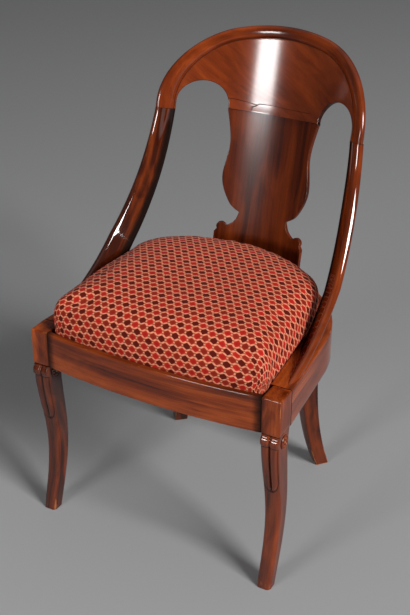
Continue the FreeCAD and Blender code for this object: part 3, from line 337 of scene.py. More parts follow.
def mahogany(name, streak, figure, shade, warmth, contrast, roughness, index):
    """Polished mahogany: long streaks, fine pores, rubbed edges with some painted highlight, and dirt in the
    joints with painted shade in hollows and creases.
    """
    look = bpy.context.scene.gondola_wood
    paint = Paint(name)
    grain = paint.mark("grain", "Vector")
    wear = paint.mark("wear")
    grime = paint.mark("grime")

    def noise(scale, *character):
        along, across = scale
        return paint.stretched(grain, (along, across, across), *character)

    streaks = noise(streak, 4.0, 0.6, 0.25)
    fine = noise(FINE_GRAIN, 3.0, 0.6)
    pores = noise(PORES, 2.0, 0.5)
    clouds = noise(figure, 3.0, 0.55, 1.2)
    tone = (streaks * 0.95 + fine * 0.34 + clouds * 0.62 - 0.955) * contrast + (0.5 + shade)
    body = paint.node("ShaderNodeValToRGB", {"stops": (
        (0.16, look.dark), (0.50, look.middle), (0.86, look.light))}, {"Fac": tone})
    warm = paint.step(clouds, 0.42, 0.70) * 0.35 + warmth
    body = paint.mix(warm, body, paint.mix(0.5, body, look.light))
    pitted = paint.step(pores, 0.60, 0.72)
    body = paint.mix(pitted * 0.42, body, look.dark)
    rubbed = noise(RUBBING, 4.0, 0.65)
    # Bare, rubbed wood, and painted highlight on the rosettes' ridges
    bare_and_highlight = paint.step(wear * 0.62 + rubbed, 0.88, 1.08) * wear
    body = paint.mix(bare_and_highlight * 0.75, body, look.worn)
    # Dirt in joints and cracks, and painted shade in quirks, creases, hollows and the stiles' inner sides
    dirt_and_shade = paint.step(grime + rubbed * 0.25, 0.30, 0.78)
    body = paint.mix(dirt_and_shade, body, look.grime)
    waves = noise(RIPPLES, 1.0, 0.5)
    ripple = paint.bump(waves, 0.10, 0.0014)
    normal = paint.bump(fine * 0.6 - pitted * 0.5, 0.10, 0.00030, ripple)
    return paint.coat(Base_Color=body, Roughness=0.30 + fine * 0.12 + dirt_and_shade * 0.25 + bare_and_highlight * 0.2,
                      Normal=normal, Coat_Weight=look.polish - dirt_and_shade * 0.7 - bare_and_highlight * 0.4,
                      Coat_Roughness=roughness, Coat_IOR=index, Specular_IOR_Level=0.0)


def plain_wood(name):
    """Unpolished beech for the hidden frames, with the grain along the piece's length."""
    paint = Paint(name)
    place = paint.node("ShaderNodeTexCoord", out="Object")
    streaks = paint.stretched(place, (30.0, 30.0, 60.0), 4.0, 0.6, 0.6)
    flecks = paint.stretched(place, (260.0, 90.0, 520.0), 2.0, 0.6)
    body = paint.node("ShaderNodeValToRGB", {"stops": (
        (0.25, (0.17, 0.095, 0.045)), (0.55, (0.30, 0.185, 0.095)), (0.8, (0.40, 0.27, 0.15)))},
        {"Fac": streaks})
    body = paint.mix(paint.step(flecks, 0.58, 0.70) * 0.4, body, (0.12, 0.062, 0.028))
    return paint.coat(Base_Color=body, Roughness=0.62 + flecks * 0.2,
                      Normal=paint.bump(flecks, 0.25, 0.0003))


def dull_steel(name):
    """Blued tacks and old screws, a little rusted."""
    paint = Paint(name)
    place = paint.node("ShaderNodeTexCoord", out="Object")
    rust = paint.step(paint.stretched(place, (420.0, 420.0, 420.0), 4.0, 0.65), 0.46, 0.66)
    body = paint.mix(rust, (0.075, 0.078, 0.088), (0.085, 0.036, 0.016))
    return paint.coat(Base_Color=body, Metallic=0.9 - rust * 0.7, Roughness=0.36 + rust * 0.4)


# Distances in from a cell's edge over which the lattice, its knots and a cell's painted shade fade, and the
# turns of the weave's ribs and threads to the metre
LATTICE_FADE = (0.0009, 0.0019)
KNOT_FADE = (0.0013, 0.0023)
SHADE_FADE = (0.0020, 0.0052)
RIB_TURNS = 6300.0
THREAD_TURNS = 5200.0


def seat_cloth(name):
    """Red figured weave: a pale lattice round red, brick and maroon cells."""
    look = bpy.context.scene.gondola_cloth
    paint = Paint(name)
    weave = paint.mark("weave", "Vector")
    weft = paint.part(weave, 0)
    warp = paint.part(weave, 1)
    u = weft / look.across
    v = warp / look.along
    wobble = paint.stretched(weave, (60.0, 60.0, 60.0), 2.0, 0.5) - 0.5
    u = u + wobble * 0.10
    v = v + wobble * 0.07
    first_u = paint.sum("ROUND", u)
    first_v = paint.sum("ROUND", v)
    second_u = paint.sum("FLOOR", u)
    second_v = paint.sum("FLOOR", v)
    offset_a = (abs(u - first_u) * look.across, abs(v - first_v) * look.along)
    offset_b = (abs(u - second_u - 0.5) * look.across, abs(v - second_v - 0.5) * look.along)
    reach_a = offset_a[0] * offset_a[0] + offset_a[1] * offset_a[1]
    reach_b = offset_b[0] * offset_b[0] + offset_b[1] * offset_b[1]
    odd = reach_b < reach_a
    du = offset_a[0] + (offset_b[0] - offset_a[0]) * odd
    dv = offset_a[1] + (offset_b[1] - offset_a[1]) * odd
    column = first_u + (second_u - 1.0 - first_u) * odd
    lane = first_v * 2.0 + (second_v * 2.0 + 1.0 - first_v * 2.0) * odd
    kind = column % 3.0
    slant = math.hypot(look.across / 2, look.along / 2)
    half_across, half_along = look.across / 2, look.along / 2
    flat_edge = half_across - du
    slant_edge = slant / 2 - (du * half_across + dv * half_along) / slant
    edge = paint.least(flat_edge, slant_edge)
    corner = paint.most(flat_edge, slant_edge)
    cell_id = paint.node("ShaderNodeCombineXYZ", None, {0: column, 1: lane})
    chance = paint.node("ShaderNodeTexWhiteNoise", {"noise_dimensions": "2D"}, {"Vector": cell_id})
    cell = paint.mix(kind > 0.5, look.maroon, look.red)
    cell = paint.mix(kind > 1.5, cell, look.brick)
    # Each cell darker by chance, and darker towards its middle as painted shade of its relief
    shade = chance * 0.35 + paint.step(edge, *SHADE_FADE) * 0.40
    cell = paint.mix(shade, cell, paint.mix(0.70, cell, look.maroon))
    lattice = 1.0 - paint.step(edge, *LATTICE_FADE)
    knots = 1.0 - paint.step(corner, *KNOT_FADE)
    ribs = paint.sum("SINE", warp * RIB_TURNS)
    threads = paint.sum("SINE", weft * THREAD_TURNS)
    fleck = paint.stretched(weave, (900.0, 900.0, 900.0), 2.0, 0.6)
    pale = paint.mix(paint.step(fleck, 0.4, 0.62) * 0.5, look.thread, paint.mix(0.4, look.thread, look.red))
    body = paint.mix(lattice, cell, pale)
    body = paint.mix(knots * lattice * 0.85, body, look.knot)
    body = paint.mix(paint.step(fleck, 0.50, 0.72) * 0.30, body, paint.mix(0.5, body, look.maroon))
    height = ribs * threads * 0.25 + lattice * 0.8 + fleck * 0.5
    return paint.coat(Base_Color=body, Roughness=0.78 - lattice * 0.14, Sheen_Weight=0.03,
                      Sheen_Roughness=0.4, Specular_IOR_Level=0.08,
                      Normal=paint.bump(height, 0.45, 0.0006))


STRIPE = (0.0175, 0.0180)


def jute(name, warp, weft, thread, tints):
    """Coarse plain weave for hessian and webbing: the spacing of its threads, their fuzz to the metre, and
    the tints of its hollows, its hills and the stripes near a strip's edges."""
    paint = Paint(name)
    weave = paint.mark("weave", "Vector")
    aside = paint.part(weave, 0)
    wander = paint.stretched(weave, (70.0, 70.0, 70.0), 2.0, 0.5) * 0.8
    over = paint.sum("SINE", aside * (math.tau / warp) + wander)
    under = paint.sum("SINE", paint.part(weave, 1) * (math.tau / weft) + wander)
    fuzz = paint.stretched(weave, (thread, thread, thread), 4.0, 0.65)
    hills = over * under * 0.5 + 0.5
    body = paint.mix(paint.step(hills + fuzz * 0.6, 0.35, 1.0), tints[0], tints[1])
    band = paint.step(abs(aside), *STRIPE)
    body = paint.mix(band * 0.35, body, tints[2])
    return paint.coat(Base_Color=body, Roughness=0.9, Specular_IOR_Level=0.15,
                      Normal=paint.bump(hills + fuzz * 0.4, 0.7, 0.0006))


# Points, faces and marks

# Angle from which an edge of wood or cloth is shaded sharp
CREASE = {"grain": math.radians(38), "weave": math.radians(60)}


class Form:
    """The points and faces of one piece, with marks at each point for its finish."""

    def __init__(self):
        self.spots = []
        self.grain = []
        self.wear = []
        self.grime = []
        self.faces = []
        self.looks = []
        self.leans = []

    def point(self, spot, grain, wear=0.0, grime=0.0):
        """One more point and its marks. Gives its number."""
        self.spots.append(tuple(spot))
        self.grain.append(tuple(grain))
        self.wear.append(wear)
        self.grime.append(grime)
        return len(self.spots) - 1

    def face(self, corners, look=0, leans=None):
        """One more face, with the number of its finish and, if given, a normal for each corner."""
        self.faces.append(tuple(corners))
        self.looks.append(look)
        self.leans.append(leans)

    def band(self, first, second, look=0, closed=True):
        """Faces between two rows of points."""
        count = len(first)
        for here in range(count if closed else count - 1):
            after = (here + 1) % count
            self.face((first[here], first[after], second[after], second[here]), look)

    def tube(self, rows, look=0):
        """A closed skin through rows of points, with both ends filled."""
        for first, second in zip(rows, rows[1:]):
            self.band(first, second, look)
        self.face(reversed(rows[0]), look)
        self.face(rows[-1], look)

    def board(self, name, node, *woods):
        """A show-wood piece of the frame, in place of its node."""
        self.build(name, FRAME_BODY, [show_wood(wood) for wood in woods], (node,), "grain")

    def cloth(self, name, slot, made, *nodes):
        """A woven piece of the loose seat, in place of its nodes."""
        return self.build(name, SEAT_BODY, [made], nodes, "weave")

    def build(self, name, body, finishes, nodes, mark):
        """The piece itself, riding on its body in place of the nodes that it stands for."""
        mesh = bpy.data.meshes.new(name)
        mesh.from_pydata(self.spots, [], self.faces)
        for attribute, kind, values in ((mark, "FLOAT_VECTOR", self.grain), ("wear", "FLOAT", self.wear),
                                        ("grime", "FLOAT", self.grime)):
            layer = mesh.attributes.new(attribute, kind, "POINT")
            key = "vector" if kind == "FLOAT_VECTOR" else "value"
            layer.data.foreach_set(key, np.array(values, np.float32).ravel())
        mesh.polygons.foreach_set("material_index", self.looks)
        for made in finishes:
            mesh.materials.append(made)
        mesh.polygons.foreach_set("use_smooth", [True] * len(self.faces))
        mesh.update()
        piece = bpy.data.objects.new(name, mesh)
        bpy.context.scene.collection.objects.link(piece)
        face_outwards(mesh)
        if any(self.leans):
            self.set_leans(mesh)
        else:
            mesh.set_sharp_from_angle(angle=CREASE[mark])
        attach(piece, body)
        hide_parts(*nodes)
        return piece

    def set_leans(self, mesh):
        """Shading normals where a face gives them for its corners."""
        normals = []
        for polygon in mesh.polygons:
            given = self.leans[polygon.index] or {}
            normals.extend(given.get(corner, (0.0, 0.0, 0.0)) for corner in polygon.vertices)
        mesh.normals_split_custom_set(normals)


def face_outwards(mesh):
    """Turns every face of a closed mesh outwards."""
    work = bmesh.new()
    work.from_mesh(mesh)
    bmesh.ops.recalc_face_normals(work, faces=work.faces)
    work.to_mesh(mesh)
    work.free()


def smooth(low, high, value):
    """Goes smoothly from 0 to 1 as the value goes from low to high, which may be the smaller."""
    part = min(1.0, max(0.0, (value - low) / (high - low)))
    return part * part * (3 - 2 * part)


def between(first, second, part):
    """A share of the way from one value to another."""
    return first + (second - first) * part


def tent(distance, half):
    """1 in the middle, falling evenly to 0 at a half width away."""
    return max(0.0, 1 - abs(distance) / half)


def hump(place):
    """A half round: 1 in the middle, 0 at -1 and 1 and beyond."""
    return math.sqrt(max(0.0, 1 - place * place))


def arc(middle, radius, first, last, steps):
    """Points round part of a circle, from one angle to another, both ends among them."""
    angles = [between(first, last, step / steps) for step in range(steps + 1)]
    return [(middle[0] + radius * math.cos(angle), middle[1] + radius * math.sin(angle)) for angle in angles]


def rounded_oblong(half_x, half_y, corner, steps, flats):
    """Points round an oblong with round corners, each with 1 on a corner and 0 on a flat."""
    quarter = math.pi / 2
    bends = [arc((x * (half_x - corner), y * (half_y - corner)), corner, quarter * number,
                 quarter * (number + 1), steps)
             for number, (x, y) in enumerate(((1, 1), (-1, 1), (-1, -1), (1, -1)))]
    points = []
    for number, bend in enumerate(bends):
        points += [(*spot, math.sin(math.pi * step / steps) ** 0.5) for step, spot in enumerate(bend)]
        last, goal = bend[-1], bends[(number + 1) % 4][0]
        for step in range(1, flats[number]):
            part = step / flats[number]
            points.append((between(last[0], goal[0], part), between(last[1], goal[1], part), 0.0))
    return points


# The bent back

# Width of a joint's dark line, the spacing of a board's own points across its face, and how far to each side
# the face's slope is taken
HAIRLINE = 0.0009
PATCH = 0.0058
NEARBY = 0.00012


class BentBack:
    """Places on the leaning, bent back, by how far across and up its face they are."""

    def __init__(self, sizes):
        self.sizes = sizes
        self.lean = (math.cos(sizes.rake), math.sin(sizes.rake))
        reach = sizes.crown - sizes.half
        self.low = sizes.top - sizes.crown
        rise = sizes.spring - self.low
        self.shoulder = (sizes.crown ** 2 - sizes.half ** 2 - rise ** 2) / (2 * reach)
        self.shoulder_x = sizes.half - self.shoulder
        self.crown_turn = math.atan2(self.shoulder_x, rise)

    def angle(self, across):
        """How far round the bend a place lies, held just short of a quarter turn."""
        return math.asin(max(-0.999, min(0.999, across / self.sizes.bend)))

    def spot(self, across, up, radius):
        angle = self.angle(across)
        out = radius * math.cos(angle)
        cos, sin = self.lean
        return Vector((radius * math.sin(angle), self.sizes.axis_y + out * cos + up * sin,
                       self.sizes.axis_z - out * sin + up * cos))

    def inset(self, across, up):
        """Distance in from the hoop's outer edge, measured on the flat pattern."""
        side = abs(across)
        if math.atan2(side, up - self.low) < self.crown_turn and up > self.low:
            return self.sizes.crown - math.hypot(side, up - self.low)
        if up > self.sizes.spring:
            return self.shoulder - math.hypot(side - self.shoulder_x, up - self.sizes.spring)
        return self.sizes.half - side

    def outer_line(self, inset, count):
        """The hoop's outer edge drawn in by an inset, from the right foot over the top to the left."""
        sizes = self.sizes
        points = [(sizes.half - inset, between(sizes.joint, sizes.spring, step / 2)) for step in range(2)]
        turn_end = math.pi / 2 - self.crown_turn
        shoulder = arc((self.shoulder_x, sizes.spring), self.shoulder - inset, 0.0, turn_end, count)
        crown = arc((0.0, self.low), sizes.crown - inset, turn_end, math.pi / 2, count // 2)
        points += shoulder[:-1] + crown[:-1]
        left = [(-x, z) for x, z in reversed(points)]
        return points + [(0.0, sizes.top - inset)] + left

    def arch_gap(self, across, up):
        """Distance outside the nearer arch's edge."""
        sizes = self.sizes
        side = abs(across)
        if up < sizes.arch_height:
            return abs(side - sizes.arch_centre) - sizes.arch_radius
        return math.hypot(side - sizes.arch_centre, up - sizes.arch_height) - sizes.arch_radius

    def arch_line(self, gap, count):
        """The right arch's edge drawn out by a gap, from the splat's side to the stile's foot."""
        sizes = self.sizes
        reach = sizes.arch_radius + gap
        points = [(sizes.arch_centre - reach, sizes.splat_joint)]
        points += arc((sizes.arch_centre, sizes.arch_height), reach, math.pi, 0.0, count)
        side = points[-1][0]
        halfway = between(sizes.joint, sizes.arch_height, 0.5)
        return points + [(side, up) for up in (halfway, sizes.joint + HAIRLINE, sizes.joint)]


class HoopSection:
    """The rounded section of the hoop, by the distances to its outer and inner edges."""

    # Width and depth of the face's outer rounding, its fall from there to the bead, the rounding of the rear
    # and of the inner edge at the foot, and the deepest that the face goes
    FRONT_ROUND = 0.0110
    FRONT_DROP = 0.0074
    FALL = 0.0020
    REAR_ROUND = 0.0070
    FOOT_ROUND = 0.0055
    MOST = 0.0078

    def __init__(self, bead):
        self.bead = bead

    def face_drop(self, inset):
        """How far the face lies behind its foremost line."""
        if inset < self.FRONT_ROUND:
            return self.FRONT_DROP * (1 - hump(1 - max(0.0, inset) / self.FRONT_ROUND))
        return self.FALL * min(1.0, (inset - self.FRONT_ROUND) / (self.bead - self.FRONT_ROUND)) ** 2

    def at_foot(self, across, through, half_width, half_thickness):
        """Where a point of the foot's section lies, front to rear."""
        inset, gap = half_width - across, half_width + across
        edge = round_drop(gap, self.FOOT_ROUND)
        if through < 0:
            return min(self.MOST, self.face_drop(inset) + edge) - half_thickness
        return half_thickness - max(round_drop(inset, self.REAR_ROUND), edge)


def round_drop(distance, radius):
    """How far a rounded edge has fallen at a distance in from it."""
    if distance >= radius:
        return 0.0
    return radius - math.sqrt(max(0.0, radius ** 2 - (radius - max(0.0, distance)) ** 2))


def triangulated(boundary, lines, loose):
    """Flat triangles inside a closed boundary, which keep the lines and the loose points: their points, the
    triangles, and which of the points each point of the boundary is."""
    count = len(boundary)
    spots = [Vector(spot) for spot in boundary]
    edges = [(here, (here + 1) % count) for here in range(count)]
    for line in lines:
        start = len(spots)
        spots.extend(Vector(spot) for spot in line)
        edges.extend((here, here + 1) for here in range(start, len(spots) - 1))
    spots.extend(Vector(spot) for spot in loose)
    flat, _, triangles, origins, _, _ = delaunay_2d_cdt(spots, edges, [], 1, 1e-6)
    place = {source: index for index, sources in enumerate(origins) for source in sources}
    return flat, triangles, [place[number] for number in range(count)]


def bent_plate(form, bent, boundary, sheets, grain_of, marks_of, look_of):
    """A bent board: two faces triangulated inside one boundary, and the edge between them. A sheet has its
    radius as a function of place, and the lines and points that its face keeps."""
    rims = []
    for radius_at, lines, loose in sheets:
        flat, triangles, rim = triangulated(boundary, lines, loose)
        indices = []
        normals = {}
        for spot in flat:
            across, up = spot
            wear, grime = marks_of(across, up)
            place = bent.spot(across, up, radius_at(across, up))
            index = form.point(place, grain_of(across, up), wear, grime)
            normals[index] = face_normal(bent, across, up, radius_at)
            indices.append(index)
        rims.append([indices[number] for number in rim])
        sign = 1.0 if len(rims) == 1 else -1.0
        for triangle in triangles:
            corners = [indices[number] for number in triangle]
            middle = sum((flat[number] for number in triangle), Vector((0.0, 0.0))) / 3
            leans = {corner: tuple(normals[corner] * sign) for corner in corners}
            form.face(corners, look_of(middle[0], middle[1]), leans)
    form.band(rims[0], rims[1])


def face_normal(bent, across, up, radius_at):
    """The normal of a bent face towards its hollow side."""
    east, west, north, south = (bent.spot(across + x, up + z, radius_at(across + x, up + z))
                                for x, z in ((NEARBY, 0), (-NEARBY, 0), (0, NEARBY), (0, -NEARBY)))
    return (east - west).cross(north - south).normalized()


def crack_drop(across, up, cracks):
    """Depth of the deepest crack at a place."""
    depth = 0.0
    for line, width, deep in cracks:
        for (x0, z0), (x1, z1) in zip(line, line[1:]):
            run_x, run_z = x1 - x0, z1 - z0
            part = ((across - x0) * run_x + (up - z0) * run_z) / (run_x ** 2 + run_z ** 2)
            part = min(1.0, max(0.0, part))
            gap = math.hypot(across - x0 - run_x * part, up - z0 - run_z * part)
            depth = max(depth, deep * (1 - gap / width))
    return depth


def unit(rows):
    """Each row brought to a length of 1."""
    return rows / np.linalg.norm(rows, axis=1)[:, None]


def beside(line, offset):
    """A line set off to one side of another."""
    spots = np.array(line)
    run = unit(np.gradient(spots, axis=0))
    return [tuple(spot) for spot in spots + np.stack((-run[:, 1], run[:, 0]), axis=1) * offset]


# Shrinkage cracks: the line of each across and up the face, its half width and its depth. The face is also
# divided a guard's width outside them
GUARD = 0.0004
CRACK_DIRT = 0.00009
CRACKS = (
    (((-0.0905, 0.3128), (-0.0816, 0.3130), (-0.0585, 0.3105), (-0.0393, 0.3076), (-0.0348, 0.3101)),
     0.00070, 0.00016),
    (((-0.0473, 0.2942), (-0.0468, 0.3010), (-0.0493, 0.3026), (-0.0391, 0.3065), (-0.0348, 0.3101)),
     0.00080, 0.00020),
    (((-0.0348, 0.3101), (-0.0103, 0.3109), (0.0154, 0.3091), (0.0420, 0.3090), (0.0691, 0.3091)),
     0.00060, 0.00012),
)


class GONDOLA_OT_crest(bpy.types.Operator):
    """Arched top board with a rounded rim round its sunk, bent panel"""
    bl_idname = "gondola.crest"
    bl_label = "Crest rail"

    # Where the face is divided: in from the outer edge, past the bead, and out from an arch
    OUTER = (0.0002, 0.0008, 0.0018, 0.0033, 0.0052, 0.0078, 0.0105, 0.0132, 0.0158)
    COVE = (-0.0046, -0.0034, -0.0022, -0.0012, -0.0004, 0.0004, 0.0013, 0.0024)
    EDGE = (0.00025, 0.0008, 0.0016)
    HOOP_STEPS = 44
    ARCH_STEPS = 40
    REAR_LINES = 7
    # The panel's own points: columns to each side and rows, their spacing, and how far they keep from edges
    GRID = (28, 22)
    PATCH_UP = 0.0072
    CLEAR = 0.004
    # Rounding of the arches' edges, and how far above the joint it starts and the panel is fully sunk
    ARCH_ROUND = 0.0016
    FOOT_RISE = 0.034
    PANEL_RISE = (0.002, 0.030)
    # The slope from bead to panel, and the place, half width and depth of the quirk at its foot
    SLOPE = (-0.0048, 0.0012)
    QUIRK = (0.0004, 0.0016, 0.0005)
    # Turn of the panel's grain, as a share along and across. The rim's runs round a hub, whose height and
    # reach these are, and is shifted across
    GRAIN_TURN = (0.85, 0.52)
    HUB = 0.24
    HUB_REACH = 0.26
    RIM_SHIFT = 0.35
    # Half widths of the soft dark bands of dirt and painted shade in the cove beside the bead and along the
    # arches' edges
    BEAD_DIRT_AND_SHADE = 0.0028
    ARCH_DIRT_AND_SHADE = 0.0035

    def execute(self, context):
        sizes = context.scene.gondola_back
        bent = BentBack(sizes)
        hoop = HoopSection(sizes.bead)
        count = self.HOOP_STEPS

        def arch_round(across, up):
            if abs(across) < sizes.arch_centre:
                return self.ARCH_ROUND
            return between(hoop.FOOT_ROUND, self.ARCH_ROUND, smooth(0.0, self.FOOT_RISE, up - sizes.joint))

        def panel_share(up):
            return smooth(*self.PANEL_RISE, up - sizes.joint)

        def front(across, up):
            inset = bent.inset(across, up)
            gap = bent.arch_gap(across, up)
            drop = hoop.face_drop(inset)
            past = inset - sizes.bead
            if past > self.SLOPE[0]:
                sunk = between(drop, sizes.sink, smooth(*self.SLOPE, past))
                place, half, depth = self.QUIRK
                drop = between(drop, sunk + depth * tent(past - place, half), panel_share(up))
            edge = round_drop(gap, arch_round(across, up))
            edge += crack_drop(across, up, CRACKS)
            return sizes.rim + min(hoop.MOST, drop + edge)

        def rear(across, up):
            inset = bent.inset(across, up)
            gap = bent.arch_gap(across, up)
            board = sizes.rear
            if abs(across) < sizes.arch_centre:
                risen = smooth(0.0, self.FOOT_RISE, up - sizes.splat_joint)
                board = between(sizes.splat_rear, sizes.rear, risen)
            return board - max(round_drop(inset, hoop.REAR_ROUND), round_drop(gap, arch_round(across, up)))

        rim_lines = [bent.outer_line(inset, count) for inset in self.OUTER]
        rim_lines += [bent.outer_line(sizes.bead + past, count) for past in self.COVE]
        rear_lines = [bent.outer_line(inset, count) for inset in self.OUTER[:self.REAR_LINES]]
        arch_lines = []
        for gap in self.EDGE:
            line = bent.arch_line(gap, self.ARCH_STEPS)
            arch_lines += [line, [(-x, z) for x, z in line]]
        foot_stops = sorted({sizes.half - inset for inset in self.OUTER}
                            | {sizes.half - sizes.bead - past for past in self.COVE}
                            | {sizes.arch_centre + sizes.arch_radius + gap for gap in self.EDGE})
        low, high = sizes.arch_centre + sizes.arch_radius, sizes.half
        foot_stops = [x for x in foot_stops if low + 1e-6 < x < high - 1e-6]
        rim_lines = [self.clipped(line, bent, low) for line in rim_lines]
        rear_lines = [self.clipped(line, bent, low) for line in rear_lines]
        outline = bent.outer_line(0.0, count)
        arch = bent.arch_line(0.0, self.ARCH_STEPS)
        inner = sizes.arch_centre - sizes.arch_radius
        seat_stops = [inner - gap for gap in self.EDGE] + [x * PATCH for x in range(14, -15, -1)]
        seat_stops += [gap - inner for gap in reversed(self.EDGE)]
        boundary = outline
        boundary += [(-x, sizes.joint) for x in reversed(foot_stops)]
        boundary += [(-x, z) for x, z in reversed(arch)]
        boundary += [(-x, sizes.splat_joint) for x in seat_stops]
        boundary += arch
        boundary += [(x, sizes.joint) for x in foot_stops]

        def on_panel(across, up):
            return min(bent.inset(across, up) - sizes.bead, bent.arch_gap(across, up)) > self.CLEAR

        loose = grid_points(*self.GRID, (PATCH, self.PATCH_UP), sizes.splat_joint + self.CLEAR, on_panel)
        joint_lines = [[(-inner, sizes.splat_joint + HAIRLINE), (inner, sizes.splat_joint + HAIRLINE)]]
        joint_lines += [[(side * low, sizes.joint + HAIRLINE), (side * high, sizes.joint + HAIRLINE)]
                        for side in (-1, 1)]
        crack_lines = []
        for line, width, _ in CRACKS:
            for offset in (-width - GUARD, -width, 0.0, width, width + GUARD):
                crack_lines.append(beside(line, offset))

        def grain_of(across, up):
            inset = bent.inset(across, up)
            if inset < sizes.bead:
                way = math.atan2(across, up - self.HUB) * self.HUB_REACH
                return (way, inset + self.RIM_SHIFT, 0.0)
            along, turned = self.GRAIN_TURN
            way = bent.angle(across) * sizes.bend
            return (way * along - up * turned, up * along + way * turned, 0.1)

        def marks_of(across, up):
            inset = bent.inset(across, up)
            # Dirt and painted shade in the cove beside the bead and along the arches' edges
            grime = 0.52 * tent(inset - sizes.bead, self.BEAD_DIRT_AND_SHADE)
            rim = 0.46 * tent(bent.arch_gap(across, up), self.ARCH_DIRT_AND_SHADE)
            crack = crack_drop(across, up, CRACKS)
            on_splat = up < sizes.splat_joint + HAIRLINE / 2 and abs(across) < inner + 0.0001
            joint = 0.8 if on_splat or up < sizes.joint + HAIRLINE / 2 else 0.0
            wear = 0.55 * tent(inset - 0.002, 0.003)
            return wear, max(grime, rim, joint, min(0.9, crack / CRACK_DIRT))

        def look_of(across, up):
            return 1 if bent.inset(across, up) > sizes.bead else 0

        form = Form()
        bent_plate(form, bent, boundary,
                   ((front, rim_lines + arch_lines + crack_lines + joint_lines, loose),
                    (rear, rear_lines + arch_lines + joint_lines, loose)),
                   grain_of, marks_of, look_of)
        form.board("crest_board", "crest_rail", "rim", "panel")
        return {"FINISHED"}

    def clipped(self, line, bent, low):
        """The line without the part that runs into the arches."""
        return [spot for spot in line if bent.arch_gap(*spot) > 1e-5 or abs(spot[0]) > low + 1e-6]


class GONDOLA_OT_splat(bpy.types.Operator):
    """Vase-shaped bent board with a scrolled plinth"""
    bl_idname = "gondola.splat"
    bl_label = "Splat"

    # The vase's right edge, the plinth's ear (its middle and radius) and the plinth's upper corner
    VASE = ((0.091, 0.294), (0.080, 0.232), (0.087, 0.165), (0.070, 0.120), (0.0485, 0.103))
    EAR = (0.078, 0.071, 0.0095)
    EAR_TURN = (math.radians(160), math.radians(-30))
    PLINTH = (0.0905, 0.060)
    ARRIS = 0.0009
    # Depth of the hollow between vase and ear, and which way it goes in
    COVE = 0.0045
    COVE_WAY = (0.8, 0.6)
    FOOT_SINK = 0.001
    FOOT_STEPS = 15
    # The board's own points, and how far they keep from its edge
    GRID = (16, 46)
    PATCH_UP = 0.0064
    LOWEST = 0.006
    CLEAR = 0.0035
    RUBBED = 0.0016

    def execute(self, context):
        sizes = context.scene.gondola_back
        rails = context.scene.gondola_rails
        bent = BentBack(sizes)
        right = self.edge()
        cos, sin = bent.lean

        def foot(across):
            depth = sizes.bend * math.cos(bent.angle(across))
            return (rails.top - self.FOOT_SINK - sizes.axis_z + depth * sin) / cos

        count = self.FOOT_STEPS
        foot_x = [x * self.PLINTH[0] / count for x in range(count, -count - 1, -1)]
        outline = right + [(x, foot(x)) for x in foot_x[1:-1]] + [(-x, z) for x, z in reversed(right)]
        outline += [(x * PATCH, sizes.splat_joint) for x in range(-15, 16)]
        outline = list(reversed(outline))
        lines = [self.drawn_in(outline, offset) for offset in (self.ARRIS * 0.3, self.ARRIS)]
        top_half = self.VASE[0][0] - self.ARRIS * 2
        lines.append([(-top_half, sizes.splat_joint - HAIRLINE), (top_half, sizes.splat_joint - HAIRLINE)])
        edge = np.array(outline)

        def gap(across, up):
            if up > sizes.splat_joint - 0.003:
                return 0.01
            return polygon_gap(edge, across, up)

        def front(across, up):
            return sizes.bend + round_drop(gap(across, up), self.ARRIS)

        def rear(across, up):
            return sizes.splat_rear - round_drop(gap(across, up), self.ARRIS)

        def grain_of(across, up):
            return (up, bent.angle(across) * sizes.bend + 0.5, 0.2)

        def marks_of(across, up):
            wear = 0.35 * tent(gap(across, up), self.RUBBED)
            return wear, 0.8 if up > sizes.splat_joint - HAIRLINE / 2 else 0.0

        loose = grid_points(*self.GRID, (PATCH, self.PATCH_UP), self.LOWEST, well_inside(edge, self.CLEAR))
        form = Form()
        bent_plate(form, bent, outline, ((front, lines, loose), (rear, lines, loose)), grain_of, marks_of,
                   lambda across, up: 0)
        form.board("splat_board", "splat", "splat")
        return {"FINISHED"}

    def edge(self):
        """The right edge from the top joint down to the rail."""
        vase = spline(self.VASE, 14)
        ear = arc(self.EAR[:2], self.EAR[2], *self.EAR_TURN, 14)
        slope = []
        for step in range(1, 8):
            part = step / 8
            hollow = self.COVE * math.sin(math.pi * part)
            slope.append(tuple(between(vase[-1][axis], ear[0][axis], part) - self.COVE_WAY[axis] * hollow
                               for axis in (0, 1)))
        step_in = [tuple(between(ear[-1][axis], self.PLINTH[axis], 0.5) for axis in (0, 1))]
        side = [(self.PLINTH[0], between(self.PLINTH[1], 0.0, step / 6)) for step in range(6)]
        return vase + slope + ear + step_in + side

    def drawn_in(self, outline, offset):
        """A closed line set in from the outline."""
        points = np.array(outline)
        before = points - np.roll(points, 1, axis=0)
        after = np.roll(points, -1, axis=0) - points
        run = unit(unit(before) + unit(after))
        normal = np.stack((-run[:, 1], run[:, 0]), axis=1)
        line = points + normal * offset
        return [tuple(spot) for spot in line] + [tuple(line[0])]


def fine_ends(count, edge):
    """Shares of a length, even but for one more close to each end."""
    return [0.0, edge] + [step / count for step in range(1, count)] + [1 - edge, 1.0]


def spline(points, steps):
    """A smooth line through points."""
    line = []
    spots = [points[0], *points, points[-1]]
    for index in range(1, len(spots) - 2):
        p0, p1, p2, p3 = (np.array(spots[index + k]) for k in (-1, 0, 1, 2))
        for step in range(steps):
            t = step / steps
            place = 0.5 * (2 * p1 + (p2 - p0) * t + (2 * p0 - 5 * p1 + 4 * p2 - p3) * t ** 2
                           + (3 * p1 - p0 - 3 * p2 + p3) * t ** 3)
            line.append(tuple(float(value) for value in place))
    line.append(tuple(points[-1]))
    return line


def polygon_gap(edge, across, up):
    """Distance from a place to a closed line."""
    run = np.roll(edge, -1, axis=0) - edge
    reach = np.array((across, up)) - edge
    part = np.clip((reach * run).sum(axis=1) / np.maximum((run ** 2).sum(axis=1), 1e-18), 0, 1)
    return float(np.min(np.linalg.norm(reach - run * part[:, None], axis=1)))


